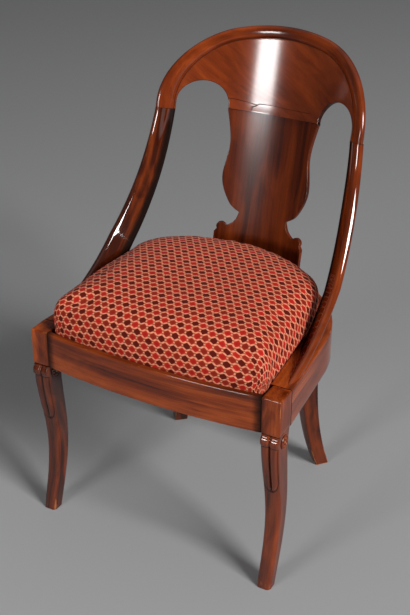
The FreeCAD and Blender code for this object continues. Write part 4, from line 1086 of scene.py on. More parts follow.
def inside(edge, spot):
    """Whether a place lies inside a closed line."""
    x, z = spot
    x0, z0 = edge[:, 0], edge[:, 1]
    x1, z1 = np.roll(x0, -1), np.roll(z0, -1)
    crossing = (z0 > z) != (z1 > z)
    with np.errstate(divide="ignore", invalid="ignore"):
        meet = x0 + (z - z0) * (x1 - x0) / (z1 - z0)
    return bool(np.sum(crossing & (x < meet)) % 2)


def well_inside(edge, clear):
    """A test for places that lie inside a closed line and clear of it."""
    return lambda *spot: inside(edge, spot) and polygon_gap(edge, *spot) > clear


def grid_points(columns, rows, spacing, start, kept):
    """The kept points of a grid with so many columns to each side, and rows up from a start."""
    spots = [(column * spacing[0], start + row * spacing[1])
             for column in range(-columns, columns + 1) for row in range(rows)]
    return [spot for spot in spots if kept(*spot)]


class GONDOLA_OT_stiles(bpy.types.Operator):
    """Side posts that sweep from the crest down and forward onto the rails"""
    bl_idname = "gondola.stiles"
    bl_label = "Stiles"

    STATIONS = 72
    END = 0.0008
    ROUND_STEPS = 7
    FLAT_STEPS = (9, 2, 9, 2)
    # Angles of the sweep between which a line of the post meets the crest, and the lowest that it may reach
    ABOVE_HEAD = 0.09
    BELOW_HEAD = 0.12
    LOWEST = math.radians(-87.5)
    # Share of the post over which the crest's section passes into its own
    HEAD_SHARE = 0.3
    LEAST_FLAT = 0.0004
    # Shift of the grain along and across, which sets the two posts apart
    GRAIN_SHIFT = (0.9, 0.21)
    # Share of the half width towards the seat over which painted shade grows, darkening the side that faces
    # the seat
    INNER_SHADE = (-0.1, 0.55)

    def execute(self, context):
        back = context.scene.gondola_back
        stile = context.scene.gondola_stiles
        rails = context.scene.gondola_rails
        bent = BentBack(back)
        outer = math.asin(back.half / back.bend)
        inner = math.asin((back.arch_centre + back.arch_radius) / back.bend)
        middle = (back.rim + back.rear) / 2
        hoop_turn = (outer + inner) / 2
        head = bent.spot(back.bend * math.sin(hoop_turn), back.joint, middle)
        head_angle = math.atan2(head.z - stile.sweep_z, head.y - stile.sweep_y)
        head_width = middle * (outer - inner)
        head_thickness = back.rear - back.rim
        stops = (head.x, stile.elbow, stile.hip, stile.foot)
        hoop = HoopSection(back.bead)

        def section(angle):
            part = (head_angle - angle) / (head_angle + stile.foot_angle)
            held = max(0.0, part)
            whole = min(1.0, held)
            place = whole * 3
            stop = min(int(place), 2)
            out = between(stops[stop], stops[stop + 1], place - stop)
            width = between(head_width, stile.foot_width, held)
            thickness = between(head_thickness, stile.foot_thickness, whole)
            face = between(hoop_turn, stile.foot_turn, whole)
            inward = Vector((0, -math.cos(angle), -math.sin(angle)))
            outward = Vector((1, 0, 0))
            centre = Vector((out, stile.sweep_y, stile.sweep_z)) - inward * stile.sweep
            along = outward * math.cos(face) + inward * math.sin(face)
            through = outward * math.sin(face) - inward * math.cos(face)
            return centre, along, through, width, thickness

        ring = rounded_oblong(1.0, 1.0, 0.5, self.ROUND_STEPS, self.FLAT_STEPS)

        def spot(angle, point):
            centre, along, through, width, thickness = section(angle)
            corner = min(stile.corner, thickness / 2 - self.LEAST_FLAT)
            flat = rounded_oblong(width / 2, thickness / 2, corner, self.ROUND_STEPS, self.FLAT_STEPS)[point]
            near_head = smooth(self.HEAD_SHARE, 0.0, (head_angle - angle) / (head_angle + stile.foot_angle))
            deep = between(flat[1], hoop.at_foot(flat[0], flat[1], width / 2, thickness / 2), near_head)
            fanned = 1 + deep / middle * near_head
            return centre + along * (flat[0] * fanned) + through * deep, flat

        cos, sin = bent.lean

        def over_joint(place):
            return (place.y - back.axis_y) * sin + (place.z - back.axis_z) * cos - back.joint

        def over_rail(place):
            return place.z - rails.top

        stations = fine_ends(self.STATIONS, self.END)
        neck = head_angle - self.BELOW_HEAD
        for name, side in SIDES:
            form = Form()
            rows = [[] for _ in stations]
            shift = [side * amount for amount in self.GRAIN_SHIFT]
            for index in range(len(ring)):
                start = self.crossing(lambda angle: over_joint(spot(angle, index)[0]),
                                      head_angle + self.ABOVE_HEAD, neck)
                end = self.crossing(lambda angle: over_rail(spot(angle, index)[0]), neck, self.LOWEST)
                for row, part in enumerate(stations):
                    angle = between(start, end, part)
                    place, flat = spot(angle, index)
                    way = (head_angle - angle) * stile.sweep
                    grain = (way + shift[0], flat[0] + shift[1], flat[1])
                    wear = ring[index][2] * 0.5
                    # Painted shade, deeper towards the seat
                    inner_shade = 0.62 * smooth(*self.INNER_SHADE, -2 * flat[0] / section(angle)[3])
                    grime = 0.8 if row == 0 else inner_shade
                    rows[row].append(form.point((side * place.x, place.y, place.z), grain, wear, grime))
            form.tube(rows)
            # Each post takes its own finish; the left one's is darker as painted shade
            form.board(f"stile_post_{name}", f"stile_{name}", f"stile_{name}")
        return {"FINISHED"}

    def crossing(self, height, first, last):
        """The angle at which a line of the post goes from above to below."""
        for _ in range(40):
            middle = (first + last) / 2
            if height(middle) > 0:
                first = middle
            else:
                last = middle
        return (first + last) / 2


class GONDOLA_OT_seat_rails(bpy.types.Operator):
    """Horseshoe of seat rails with the rebate for the loose seat"""
    bl_idname = "gondola.seat_rails"
    bl_label = "Seat rails"

    # Rounding of the lower outer edge, the lip's edge, the ledge's edges and the front rail's upper edge
    FOOT_ARRIS = 0.0016
    LIP_ARRIS = 0.0012
    LEDGE_ARRIS = 0.001
    FRONT_ARRIS = 0.0022
    STRAIGHT_STEPS = 16
    RING_STEPS = 36
    RING_END = 0.003
    FRONT_STEPS = 44
    FRONT_END = 0.0015
    # Shifts of the grain that set the rails apart
    SIDE_GRAIN = 1.7
    BACK_GRAIN = 3.0
    FRONT_GRAIN = 5.0
    # How far the painted shade beside the blocks reaches, and the depth of the front rail's darker top
    BLOCK_SHADE = 0.028
    TOP_DARKENED = 0.0008

    def execute(self, context):
        rails = context.scene.gondola_rails
        self.front(rails)
        for name, side in SIDES:
            self.ring_part(rails, f"side_rail_board_{name}", f"side_rail_{name}", side, True)
        self.ring_part(rails, "back_rail_board", "back_rail", 1, False)
        return {"FINISHED"}

    def profile(self, rails, lip, ledge, arris):
        """Round the rail's section: how far in from the outer face, height, and wear."""
        top, bottom, floor = rails.top, rails.bottom, rails.top - rails.rebate
        inner = lip + ledge
        return rounded_path(((0.0, bottom, self.FOOT_ARRIS), (0.0, top, arris), (lip, top, self.LIP_ARRIS),
                             (lip, floor, 0.0), (inner, floor, self.LEDGE_ARRIS),
                             (inner, bottom, self.LEDGE_ARRIS)))

    def ring_part(self, rails, name, node, side, flared):
        """A rail of the round half; a flared one also runs straight forward to its block."""
        ring = self.profile(rails, rails.lip, rails.ledge, rails.arris)
        flare = rails.flare
        front = rails.front - rails.block_depth
        steps = self.STRAIGHT_STEPS
        form = Form()
        rows = []
        low_turn, high_turn = (flare, rails.joint) if flared else (rails.joint, math.pi - rails.joint)
        straight = [0.0, self.RING_END] + [step / steps for step in range(1, steps)] if flared else []
        shares = straight + [1 + part for part in fine_ends(self.RING_STEPS, self.RING_END)]
        for row, part in enumerate(shares):
            line = []
            for inset, height, worn in ring:
                radius = rails.ring - inset
                if part < 1:
                    run = (radius * math.sin(flare) + front) / math.cos(flare) * (1 - part)
                    x = radius * math.cos(flare) + math.sin(flare) * run
                    y = radius * math.sin(flare) - math.cos(flare) * run
                    way = -run
                else:
                    angle = between(low_turn, high_turn, part - 1)
                    x, y = radius * math.cos(angle), radius * math.sin(angle)
                    way = (angle - flare) * rails.ring
                grime = 0.6 if row in (0, len(shares) - 1) else 0.0
                grain = (way + self.SIDE_GRAIN * side + (0 if flared else self.BACK_GRAIN), inset, height)
                line.append(form.point((side * x, y + rails.centre_y, height), grain, worn * 0.6, grime))
            rows.append(line)
        form.tube(rows)
        # The side rails' finish is lighter and warmer than the front rail's, as painted light
        form.board(name, node, "side_rail")

    def front(self, rails):
        """The bowed rail between the blocks."""
        inner = block_sides(rails)[0]
        back_face = rails.front - rails.front_lip - rails.front_ledge
        radius = (inner ** 2 + rails.bow ** 2) / (2 * rails.bow)
        ring = self.profile(rails, rails.front_lip, rails.front_ledge, self.FRONT_ARRIS)
        form = Form()
        rows = []
        for part in fine_ends(self.FRONT_STEPS, self.FRONT_END):
            x = between(-inner, inner, part)
            bow = math.sqrt(radius ** 2 - x ** 2) - (radius - rails.bow)
            line = []
            for inset, height, worn in ring:
                share_in = max(0.0, inset - rails.front_lip) / rails.front_ledge
                y = between(-rails.front - bow + min(inset, rails.front_lip), -back_face, share_in)
                # Painted shade beside the blocks, and a darker band along the top
                grime = 0.6 if part in (0.0, 1.0) else 0.60 * smooth(self.BLOCK_SHADE, 0.0, inner - abs(x))
                if abs(inset) < rails.front_lip and height > rails.top - self.TOP_DARKENED:
                    grime = max(grime, 0.32)
                grain = (x + self.FRONT_GRAIN, inset, height)
                line.append(form.point((x, y + rails.centre_y, height), grain, worn * 0.6, grime))
            rows.append(line)
        form.tube(rows)
        form.board("front_rail_board", "front_rail", "rail")


def block_sides(rails):
    """Inner and outer sides of a front block, out from the middle."""
    back = rails.front - rails.block_depth
    outer = (rails.ring + back * math.sin(rails.flare)) / math.cos(rails.flare)
    return outer - rails.block_width, outer


LONGEST_RUN = 0.011


def rounded_path(corners, steps=3):
    """A closed path with its corners rounded, each point with its wear."""
    path = []
    count = len(corners)
    for number, (x, z, radius) in enumerate(corners):
        if radius == 0.0:
            path.append((x, z, 0.0))
            continue
        x0, z0, _ = corners[number - 1]
        x1, z1, _ = corners[(number + 1) % count]
        back = Vector((x0 - x, z0 - z)).normalized() * radius
        ahead = Vector((x1 - x, z1 - z)).normalized() * radius
        for step in range(steps + 1):
            angle = math.pi / 2 * step / steps
            pull = 1 - math.sin(angle), 1 - math.cos(angle)
            spot = Vector((x, z)) + back * pull[0] + ahead * pull[1]
            path.append((spot.x, spot.y, 1.0 if 0 < step < steps else 0.5))
    return subdivided(path, LONGEST_RUN)


def subdivided(path, longest):
    """A closed path with its long runs divided."""
    points = []
    for number, (x, z, worn) in enumerate(path):
        x1, z1, _ = path[(number + 1) % len(path)]
        points.append((x, z, worn))
        parts = max(1, int(math.hypot(x1 - x, z1 - z) / longest))
        for step in range(1, parts):
            points.append((between(x, x1, step / parts), between(z, z1, step / parts), 0.0))
    return points


# Legs

def section_at(node, height, middle=(0.0, 0.0), angle=0.0):
    """Lowest and highest corner of a node's section at a height, turned about a middle."""
    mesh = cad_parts[node].data
    spots = np.array([vertex.co for vertex in mesh.vertices], float)
    edges = np.array([edge.vertices for edge in mesh.edges])
    first, second = spots[edges[:, 0]], spots[edges[:, 1]]
    crossing = (first[:, 2] - height) * (second[:, 2] - height) <= 0
    crossing &= np.abs(first[:, 2] - second[:, 2]) > 1e-9
    first, second = first[crossing], second[crossing]
    part = (height - first[:, 2]) / (second[:, 2] - first[:, 2])
    cut = first + (second - first) * part[:, None]
    x, y = cut[:, 0] - middle[0], cut[:, 1] - middle[1]
    along = x * math.cos(angle) + y * math.sin(angle)
    across = -x * math.sin(angle) + y * math.cos(angle)
    return (along.min(), across.min()), (along.max(), across.max())


def leg_section(node, height, top, clear, *turned):
    """Centre and half size of a leg's section at a height, read a little way in from the leg's ends."""
    low, high = section_at(node, min(max(height, 2 * clear), top - clear), *turned)
    centre = [(first + last) / 2 for first, last in zip(low, high)]
    return centre, [(last - first) / 2 for first, last in zip(low, high)]


FOOT_ARRIS = 0.0012


class GONDOLA_OT_front_legs(bpy.types.Operator):
    """Square blocks on sabre legs with carved lappets and scrolls at the knee"""
    bl_idname = "gondola.front_legs"
    bl_label = "Front legs"

    BLOCK_ARRIS = 0.0022
    BLOCK_FOOT = 0.0018
    # Rows of the leg: the first one's height, the spacing and how many, plain below and fine at the knee
    PLAIN_ROWS = (0.004, 0.0060, 30)
    FINE_ROWS = (0.1835, 0.0015, 86)
    CLEAR = 0.0004
    FULLER = 0.0010
    KNEE_CORNER = 0.0034
    FLAT_STEPS = (6, 10, 30, 10)
    # Where the carved front starts and is full, as shares of the leg's half depth
    FRONT = (-0.72, -0.96)
    # As shares of its half width: the lappet's half width, a lobe's, and the groove's outer and inner edge
    LAPPET_HALF = 0.90
    LOBE = 0.47
    GROOVE = (0.24, 0.04)
    # Heights over the lappet's tip between which the leg passes from plain to carved, the height up to which
    # its edges are well rubbed, and those between which its foot is scuffed
    CARVED = (-0.03, 0.01)
    RUBBED = 0.045
    SCUFFED = (0.034, 0.006)
    # Shifts of the grain that set the blocks and the legs apart
    BLOCK_GRAIN = (0.7, 0.4)
    LEG_GRAIN = 1.3
    # Length of the lappet's round end, and the heights between which its lobes and its sunk line fade out
    TONGUE = 0.028
    LOBE_TOP = (0.302, 0.296)
    LINE_TOP = (0.296, 0.288)
    LINE_DEEP = 0.0014
    GROOVE_DEEP = 0.0022
    # The roll and the bead over the lappet: height, half width and relief
    ROLL = (0.2998, 0.0086, 0.0048)
    BEAD = (0.3108, 0.0017, 0.0020)
    # Heights between which the neck under the block draws in, and by how much
    NECK = (0.3118, 0.3128)
    NECK_DEEP = 0.0016
    # Creases under the roll and under the bead, darkened with painted shade: height and half width
    CREASES = ((0.2915, 0.0016), (0.3088, 0.0012))
    # A rosette's rows of points, and its rim, petals and boss: middle and half width as shares of its radius,
    # and height
    RINGS = (1.0, 0.995, 0.97, 0.93, 0.89, 0.85, 0.825, 0.76, 0.67, 0.58, 0.49, 0.41, 0.34, 0.295, 0.25,
             0.18, 0.09)
    RIM = (0.91, 0.09, 0.0014)
    PETAL = (0.58, 0.25, 0.0019)
    BOSS = (0.0, 0.30, 0.0022)
    RIM_POINTS = 64
    PETALS = 8
    GROUND = 0.0003
    ROOT = -0.002
    ROSETTE_SET = 0.0012

    def execute(self, context):
        legs = context.scene.gondola_legs
        rails = context.scene.gondola_rails
        for name, side in SIDES:
            node = f"front_leg_{name}"
            form = Form()
            self.block(form, rails, side)
            self.sabre(form, legs, rails, node, side)
            self.rosettes(form, legs, node, side)
            form.board(f"front_leg_carved_{name}", node, f"leg_{name}", "block")
        return {"FINISHED"}

    def block(self, form, rails, side):
        """The square block that the rails meet."""
        inner, outer = block_sides(rails)
        middle = (side * (inner + outer) / 2, rails.centre_y - rails.front + rails.block_depth / 2)
        half_x, half_y = rails.block_width / 2, rails.block_depth / 2
        rows = []
        span = rails.top - rails.bottom
        arris, foot = self.BLOCK_ARRIS, self.BLOCK_FOOT
        levels = [(0.0, 1.0), (foot / 3, 0.3), (foot, 0.0)]
        levels += [(between(foot, span - arris, step / 8), 0.0) for step in range(1, 8)]
        levels += [(span - arris * (1 - math.sin(turn)), 1 - math.cos(turn))
                   for turn in (math.pi / 2 * step / 4 for step in range(5))]
        levels += [(span, 2.2), (span, 4.5)]
        for rise, pull in levels:
            drawn = arris * pull
            row = []
            for x, y, worn in rounded_oblong(half_x - drawn, half_y - drawn, arris, 3, (6, 6, 6, 6)):
                height = rails.bottom + rise
                wear = max(worn, 0.7 if 0 < pull <= 1 else 0.0) * (0.9 if rise > span / 2 else 0.55)
                if pull > 1:
                    wear = 0.15
                # Darker along the bottom edge, and painted shade growing towards the inner side where the
                # rail meets the block
                grime = 0.3 if rise < 0.0004 else 0.42 * smooth(-0.2, -1.0, side * x / half_x)
                along, deep = self.BLOCK_GRAIN
                row.append(form.point((middle[0] + x, middle[1] + y, height),
                                      (height + side * along, x, y + deep), wear, grime))
            rows.append(row)
        form.tube(rows, 1)

    def sabre(self, form, legs, rails, node, side):
        """The curved leg, with its knee carved."""
        heights = [0.0, 0.0006]
        for first, spacing, count in (self.PLAIN_ROWS, self.FINE_ROWS):
            heights += [first + spacing * step for step in range(count)]
        rows = []
        for height in (*heights, rails.bottom):
            centre, half = leg_section(node, height, rails.bottom, self.CLEAR)
            carved = smooth(*self.CARVED, height - legs.lappet_end)
            half_x, half_y = (size + self.FULLER * (1 - carved) for size in half)
            drawn = FOOT_ARRIS if height == 0.0 else 0.0
            corner = between(legs.corner, self.KNEE_CORNER, carved)
            row = []
            for x, y, worn in rounded_oblong(half_x - drawn, half_y - drawn, corner, 5, self.FLAT_STEPS):
                push, grime = self.lappet(legs, x / half_x, y / half_y, height)
                wear = worn * between(0.8, 0.40, smooth(0.0, self.RUBBED, height))
                wear = max(wear, 0.55 * smooth(*self.SCUFFED, height))
                row.append(form.point((centre[0] + x, centre[1] + y - push, height),
                                      (height + side * self.LEG_GRAIN, x, y), wear, grime))
            rows.append(row)
        form.tube(rows, 0)

    def lappet(self, legs, u, v, height):
        """How far a point of the knee is carved forward, and the painted shade in its groove, creases and
        neck.
        """
        if v > self.FRONT[0]:
            return 0.0, 0.0
        front = smooth(*self.FRONT, v)
        below = max(0.0, legs.lappet_end + self.TONGUE - height) / self.TONGUE
        reach = math.hypot(u / self.LAPPET_HALF, below)
        lobe = hump(abs(u) / self.LOBE - 1)
        tongue = smooth(1.0, 0.78, reach) * smooth(*self.LOBE_TOP, height)
        line = tent(reach - 1.0, 0.14) * smooth(*self.LINE_TOP, height)
        above_tip = smooth(1.05, 0.90, below)
        groove = smooth(*self.GROOVE, abs(u)) * above_tip
        relief = legs.lappet_proud * tongue * (0.30 + 0.70 * lobe) - self.LINE_DEEP * line
        for middle, half, proud in (self.ROLL, self.BEAD):
            relief = max(relief, proud * hump((height - middle) / half))
        neck = smooth(*self.NECK, height)
        crease = max(tent(height - middle, half) for middle, half in self.CREASES)
        # Painted shade in the groove, the sunk line round the tongue, the creases and the neck
        seam = tent(u, 0.20) * above_tip
        grime = max(seam * 0.50, line * 0.58, 0.6 * crease, 0.7 * neck)
        return front * (relief - self.NECK_DEEP * neck - self.GROOVE_DEEP * groove), grime * front

    def rosettes(self, form, legs, node, side):
        """A carved rosette on each cheek of the knee."""
        low, high = section_at(node, legs.rosette_height)
        middle_y = (low[1] + high[1]) / 2 + self.ROSETTE_SET
        for face, x in ((-1, low[0]), (1, high[0])):
            self.rosette(form, legs, Vector((x, middle_y, legs.rosette_height)), face, side)

    def rosette(self, form, legs, middle, face, side):
        """A round rim, eight petals and a boss, from the rim in to the middle."""
        rows = []
        for share_out in self.RINGS:
            row = []
            for step in range(self.RIM_POINTS):
                angle = math.tau * step / self.RIM_POINTS
                petal = abs(math.cos(self.PETALS / 2 * angle)) ** 0.7
                swells = [height * hump((share_out - place) / half)
                          for place, half, height in (self.RIM, self.PETAL, self.BOSS)]
                high = max(swells[0], petal * swells[1], swells[2])
                rise = self.GROUND + high if rows else self.ROOT
                reach = legs.rosette_radius * share_out
                around = angle * face
                spot = middle + Vector((face * rise, reach * math.cos(around), reach * math.sin(around)))
                # Lighter on the ridges as wear and painted highlight, darker in the hollows as dirt and
                # painted shade
                wear, grime = 0.85 * smooth(0.0010, 0.0019, high), 0.85 * smooth(0.0011, 0.0002, high)
                row.append(form.point(spot, (spot.z + side, spot.y, spot.x), wear, grime))
            rows.append(row)
        form.tube(rows, 0)


class GONDOLA_OT_rear_legs(bpy.types.Operator):
    """Square sabre legs set diagonally under the side rails"""
    bl_idname = "gondola.rear_legs"
    bl_label = "Rear legs"

    ROWS = 56
    CLEAR = 0.0005
    FLAT_STEPS = (6, 6, 6, 6)
    # Heights up to which the foot is worn bare and well rubbed, and the depth of the dirt under the rail
    BARE = 0.004
    RUBBED = 0.04
    RAIL_DIRT = 0.0012
    # Shifts of the grain that set the two legs apart, and both from the front ones
    SIDE_GRAIN = 2.1
    GRAIN = 4.0

    def execute(self, context):
        legs = context.scene.gondola_legs
        rails = context.scene.gondola_rails
        for name, side in SIDES:
            angle = legs.rear_turn if side > 0 else math.pi - legs.rear_turn
            node = f"rear_leg_{name}"
            middle = (0.0, rails.centre_y)
            form = Form()
            rows = []
            heights = [0.0, 0.0008]
            heights += [0.004 + (rails.bottom - 0.006) * step / self.ROWS for step in range(self.ROWS + 1)]
            for height in (*heights, rails.bottom):
                centre, half = leg_section(node, height, rails.bottom, self.CLEAR, middle, angle)
                drawn = FOOT_ARRIS if height == 0.0 else 0.0
                row = []
                for x, y, worn in rounded_oblong(half[0] - drawn, half[1] - drawn, legs.rear_corner, 4,
                                                 self.FLAT_STEPS):
                    along, across = centre[0] + x, centre[1] + y
                    spot = (along * math.cos(angle) - across * math.sin(angle),
                            along * math.sin(angle) + across * math.cos(angle) + rails.centre_y, height)
                    wear = 1.0 if height < self.BARE else worn * (0.45 if height > self.RUBBED else 0.9)
                    grime = 0.7 if height > rails.bottom - self.RAIL_DIRT else 0.0
                    grain = (height + side * self.SIDE_GRAIN + self.GRAIN, x, y)
                    row.append(form.point(spot, grain, wear, grime))
                rows.append(row)
            form.tube(rows)
            form.board(f"rear_leg_board_{name}", node, "rear_leg")
        return {"FINISHED"}


# The loose seat

class SeatPlan:
    """The seat's outline seen from above, drawn in by an inset, and squarer at the back with fullness."""

    # At full fullness: how much the back is flattened, and how far the haunches move out and back
    FLAT = 0.004
    SHIFT = 0.075
    BACK = 0.045
    LEAST_CORNER = 0.004
    REAR_TURN = math.radians(60)
    # Steps of the half line along the front, round the corner, along the side, round the haunch and behind
    FRONT_STEPS, CORNER_STEPS, SIDE_STEPS, HAUNCH_STEPS, REAR_STEPS = 12, 6, 14, 24, 12
    # The point of the half line where the side starts, and the share of the line where it ends
    SIDE_START = 14
    SIDE_END = 0.66

    def __init__(self, seat, rails):
        self.seat = seat
        self.rails = rails

    def outline(self, inset, fullness, counts):
        """Points from the middle of the front round by the right, with counts along each end and side."""
        seat, rails = self.seat, self.rails
        radius = seat.radius - inset
        front = seat.front - inset
        shift = fullness * self.SHIFT
        back = fullness * self.BACK
        haunch = radius - shift
        flare = rails.flare
        flank = haunch + shift * math.cos(flare) + back * math.sin(flare)

        def side_line(forward):
            return (flank + forward * math.sin(flare)) / math.cos(flare)

        tip = side_line(front)
        corner = max(self.LEAST_CORNER, seat.corner)
        depth = radius - fullness * self.FLAT - back
        rear = radius
        rear_turn = self.REAR_TURN
        if fullness > 0:
            rear = (shift ** 2 + depth ** 2 - haunch ** 2) / (2 * (depth - haunch))
            rear_turn = math.atan2(rear - depth, shift)
        path = []
        for step in range(self.FRONT_STEPS + 1):
            x = (tip - corner) * step / self.FRONT_STEPS
            bow = rails.bow * (1 - (x / tip) ** 2)
            path.append((x, -front - bow))
        start = Vector(path[-1])
        bend = Vector((tip - 0.22 * corner, 0.05 * corner - front - rails.bow * 0.06))
        end = Vector((side_line(front - corner), corner - front))
        for step in range(1, self.CORNER_STEPS + 1):
            t = step / self.CORNER_STEPS
            path.append(tuple(start * (1 - t) ** 2 + bend * 2 * t * (1 - t) + end * t ** 2))
        shoulder = Vector((shift + haunch * math.cos(flare), back + haunch * math.sin(flare)))
        for step in range(1, self.SIDE_STEPS + 1):
            path.append(tuple(end.lerp(shoulder, step / self.SIDE_STEPS)))
        path += arc((shift, back), haunch, flare, rear_turn, self.HAUNCH_STEPS)[1:]
        centre_y = back + depth - rear
        meet = math.atan2(path[-1][1] - centre_y, path[-1][0])
        path += arc((0.0, centre_y), rear, meet, math.pi / 2, self.REAR_STEPS)[1:]
        return self.spaced(np.array(path), counts)

    def spaced(self, half, counts):
        """The right half's line divided evenly into front, side and back, then mirrored."""
        run = np.concatenate(([0.0], np.cumsum(np.hypot(*np.diff(half, axis=0).T))))
        ends, sides = counts
        breaks = (0.0, run[self.SIDE_START], run[-1] * self.SIDE_END, run[-1])
        places = []
        for first, last, count in zip(breaks, breaks[1:], (ends // 2, sides, ends // 2)):
            places.extend(between(first, last, step / count) for step in range(count))
        places.append(run[-1])
        x = np.interp(places, run, half[:, 0])
        y = np.interp(places, run, half[:, 1])
        right = list(zip(x, y))
        left = [(-a, b) for a, b in reversed(right[1:-1])]
        return [(float(a), float(b) + self.rails.centre_y) for a, b in right + left]


class GONDOLA_OT_cushion(bpy.types.Operator):
    """Crowned, stuffed seat in figured red cloth, swelled by a short cloth run"""
    bl_idname = "gondola.cushion"
    bl_label = "Seat cushion"

    COUNTS = (46, 40)
    BROW_INSET = 0.012
    DOME_REACH = 0.110
    DOME_POWER = 2.3
    # Heights and depths over which the stuffing's unevenness grows
    RISEN = (0.384, 0.440)
    BEHIND = (-0.225, -0.080)
    FRONT_CORNER = (-0.245, -0.170)
    BULGE = ((0.384, 0.402), (0.452, 0.430))
    # The cloth run
    PRESSURE = 4.0
    STIFFNESS = 25.0
    BENDING = 4.0
    FRAMES = 20
    MOST_TRAVEL = 0.004

    def execute(self, context):
        seat = context.scene.gondola_seat
        rails = context.scene.gondola_rails
        plan = SeatPlan(seat, rails)
        form = Form()
        pinned = []
        brow_line = plan.outline(self.BROW_INSET, 1.0, self.COUNTS)
        ring = self.crown(form, seat, brow_line)
        travel = np.zeros(len(ring))
        last_spots = np.array([form.spots[index] for index in ring])
        out = self.outward(brow_line)
        base = np.array(brow_line)
        for inset, height, fullness, held in self.side_levels(seat):
            line = plan.outline(inset, fullness, self.COUNTS)
            spots = np.array([self.stuffed(seat, x, y, height) for x, y in line])
            travel = travel + np.linalg.norm(spots - last_spots, axis=1)
            last_spots = spots
            row = []
            for number, spot in enumerate(spots):
                unrolled = base[number] + out[number] * travel[number]
                row.append(form.point(spot, (unrolled[0], unrolled[1], 0.0)))
                if held:
                    pinned.append(row[-1])
            form.band(ring, row)
            ring = row
        form.face(ring)
        piece = form.cloth("seat_cushion", "seat_cloth", finish("seat_cloth", seat_cloth), "seat_cover",
                           "stuffing")
        self.swell(piece, pinned)
        return {"FINISHED"}

    def side_levels(self, seat):
        """Down the side and under: inset, height, fullness and whether the cloth is held there."""
        skin, bottom = seat.skin, seat.bottom
        free = ((0.0080, 0.4443, 1.0), (0.0044, 0.4410, 1.0), (0.0016, 0.4365, 1.0), (-0.0002, 0.4310, 1.0),
                (-0.0014, 0.4245, 1.0), (-0.0019, 0.4175, 0.95), (-0.0020, 0.4105, 0.86),
                (-0.0019, 0.4035, 0.70), (-0.0018, 0.3970, 0.50), (-0.0017, 0.3905, 0.26))
        held = ((-skin, 0.3850, 0.08), (-skin, 0.3800, 0.0), (-skin, 0.3700, 0.0), (-skin, 0.3606, 0.0),
                (-0.0006, bottom, 0.0), (0.014, bottom, 0.0), (seat.turn_under, bottom, 0.0),
                (seat.turn_under, 0.3608, 0.0), (0.0006, 0.3610, 0.0), (0.0006, 0.3795, 0.0),
                (0.004, 0.3842, 0.0))
        return [(*level, False) for level in free] + [(*level, True) for level in held]

    def stuffed(self, seat, x, y, height):
        """Where the uneven stuffing puts a point: fuller behind and on the left, bulging on the right."""
        side = x / seat.radius
        corner = (1 - smooth(*self.FRONT_CORNER, y)) * smooth(0.55, 1.0, abs(side))
        fuller = smooth(*self.BEHIND, y) * (seat.lift - seat.tilt * side)
        lift = smooth(*self.RISEN, height) * (fuller - seat.droop * corner)
        low, high = self.BULGE
        bulge = smooth(*low, height) * smooth(*high, height) * smooth(0.55, 0.95, side)
        return x + seat.belly * bulge, y, height + lift

    def crown(self, form, seat, brow_line):
        """The domed top: a grid fitted to the brow's line. Gives the points of its edge in order."""
        columns, rows = self.COUNTS
        edge = np.array(brow_line)
        counts = (columns, rows, columns, rows)
        starts = np.cumsum((-(columns // 2), *counts[:3]))
        front, right, back, left = (edge[(start + np.arange(count + 1)) % len(edge)]
                                    for start, count in zip(starts, counts))
        back, left = back[::-1], left[::-1]
        indices = np.empty((columns + 1, rows + 1), int)
        for column, row in np.ndindex(indices.shape):
            s, t = column / columns, row / rows
            x, y = ((1 - t) * front[column] + t * back[column] + (1 - s) * left[row] + s * right[row]
                    - (1 - s) * (1 - t) * front[0] - s * (1 - t) * front[-1]
                    - (1 - s) * t * back[0] - s * t * back[-1])
            on_edge = column in (0, columns) or row in (0, rows)
            gap = 0.0 if on_edge else polygon_gap(edge, x, y)
            height = seat.brow + (seat.crown - seat.brow) * self.dome(gap)
            indices[column, row] = form.point(self.stuffed(seat, x, y, height), (x, y, 0.0))
        for column, row in np.ndindex(columns, rows):
            form.face(indices[[column, column + 1, column + 1, column], [row, row, row + 1, row + 1]])
        half = columns // 2
        ring = [*indices[half:columns, 0], *indices[columns, :rows], *indices[columns:0:-1, rows],
                *indices[0, rows:0:-1], *indices[:half, 0]]
        if len(ring) != len(edge):
            raise RuntimeError(f"the top's edge has {len(ring)} points and the sides {len(edge)}")
        return ring

    def dome(self, gap):
        """Share of the crown's rise at a distance in from the brow."""
        part = min(1.0, gap / self.DOME_REACH)
        return 1 - (1 - part) ** self.DOME_POWER

    def outward(self, line):
        """Directions out from each point of a closed line."""
        points = np.array(line)
        run = np.roll(points, -1, axis=0) - np.roll(points, 1, axis=0)
        return unit(np.stack((run[:, 1], -run[:, 0]), axis=1))

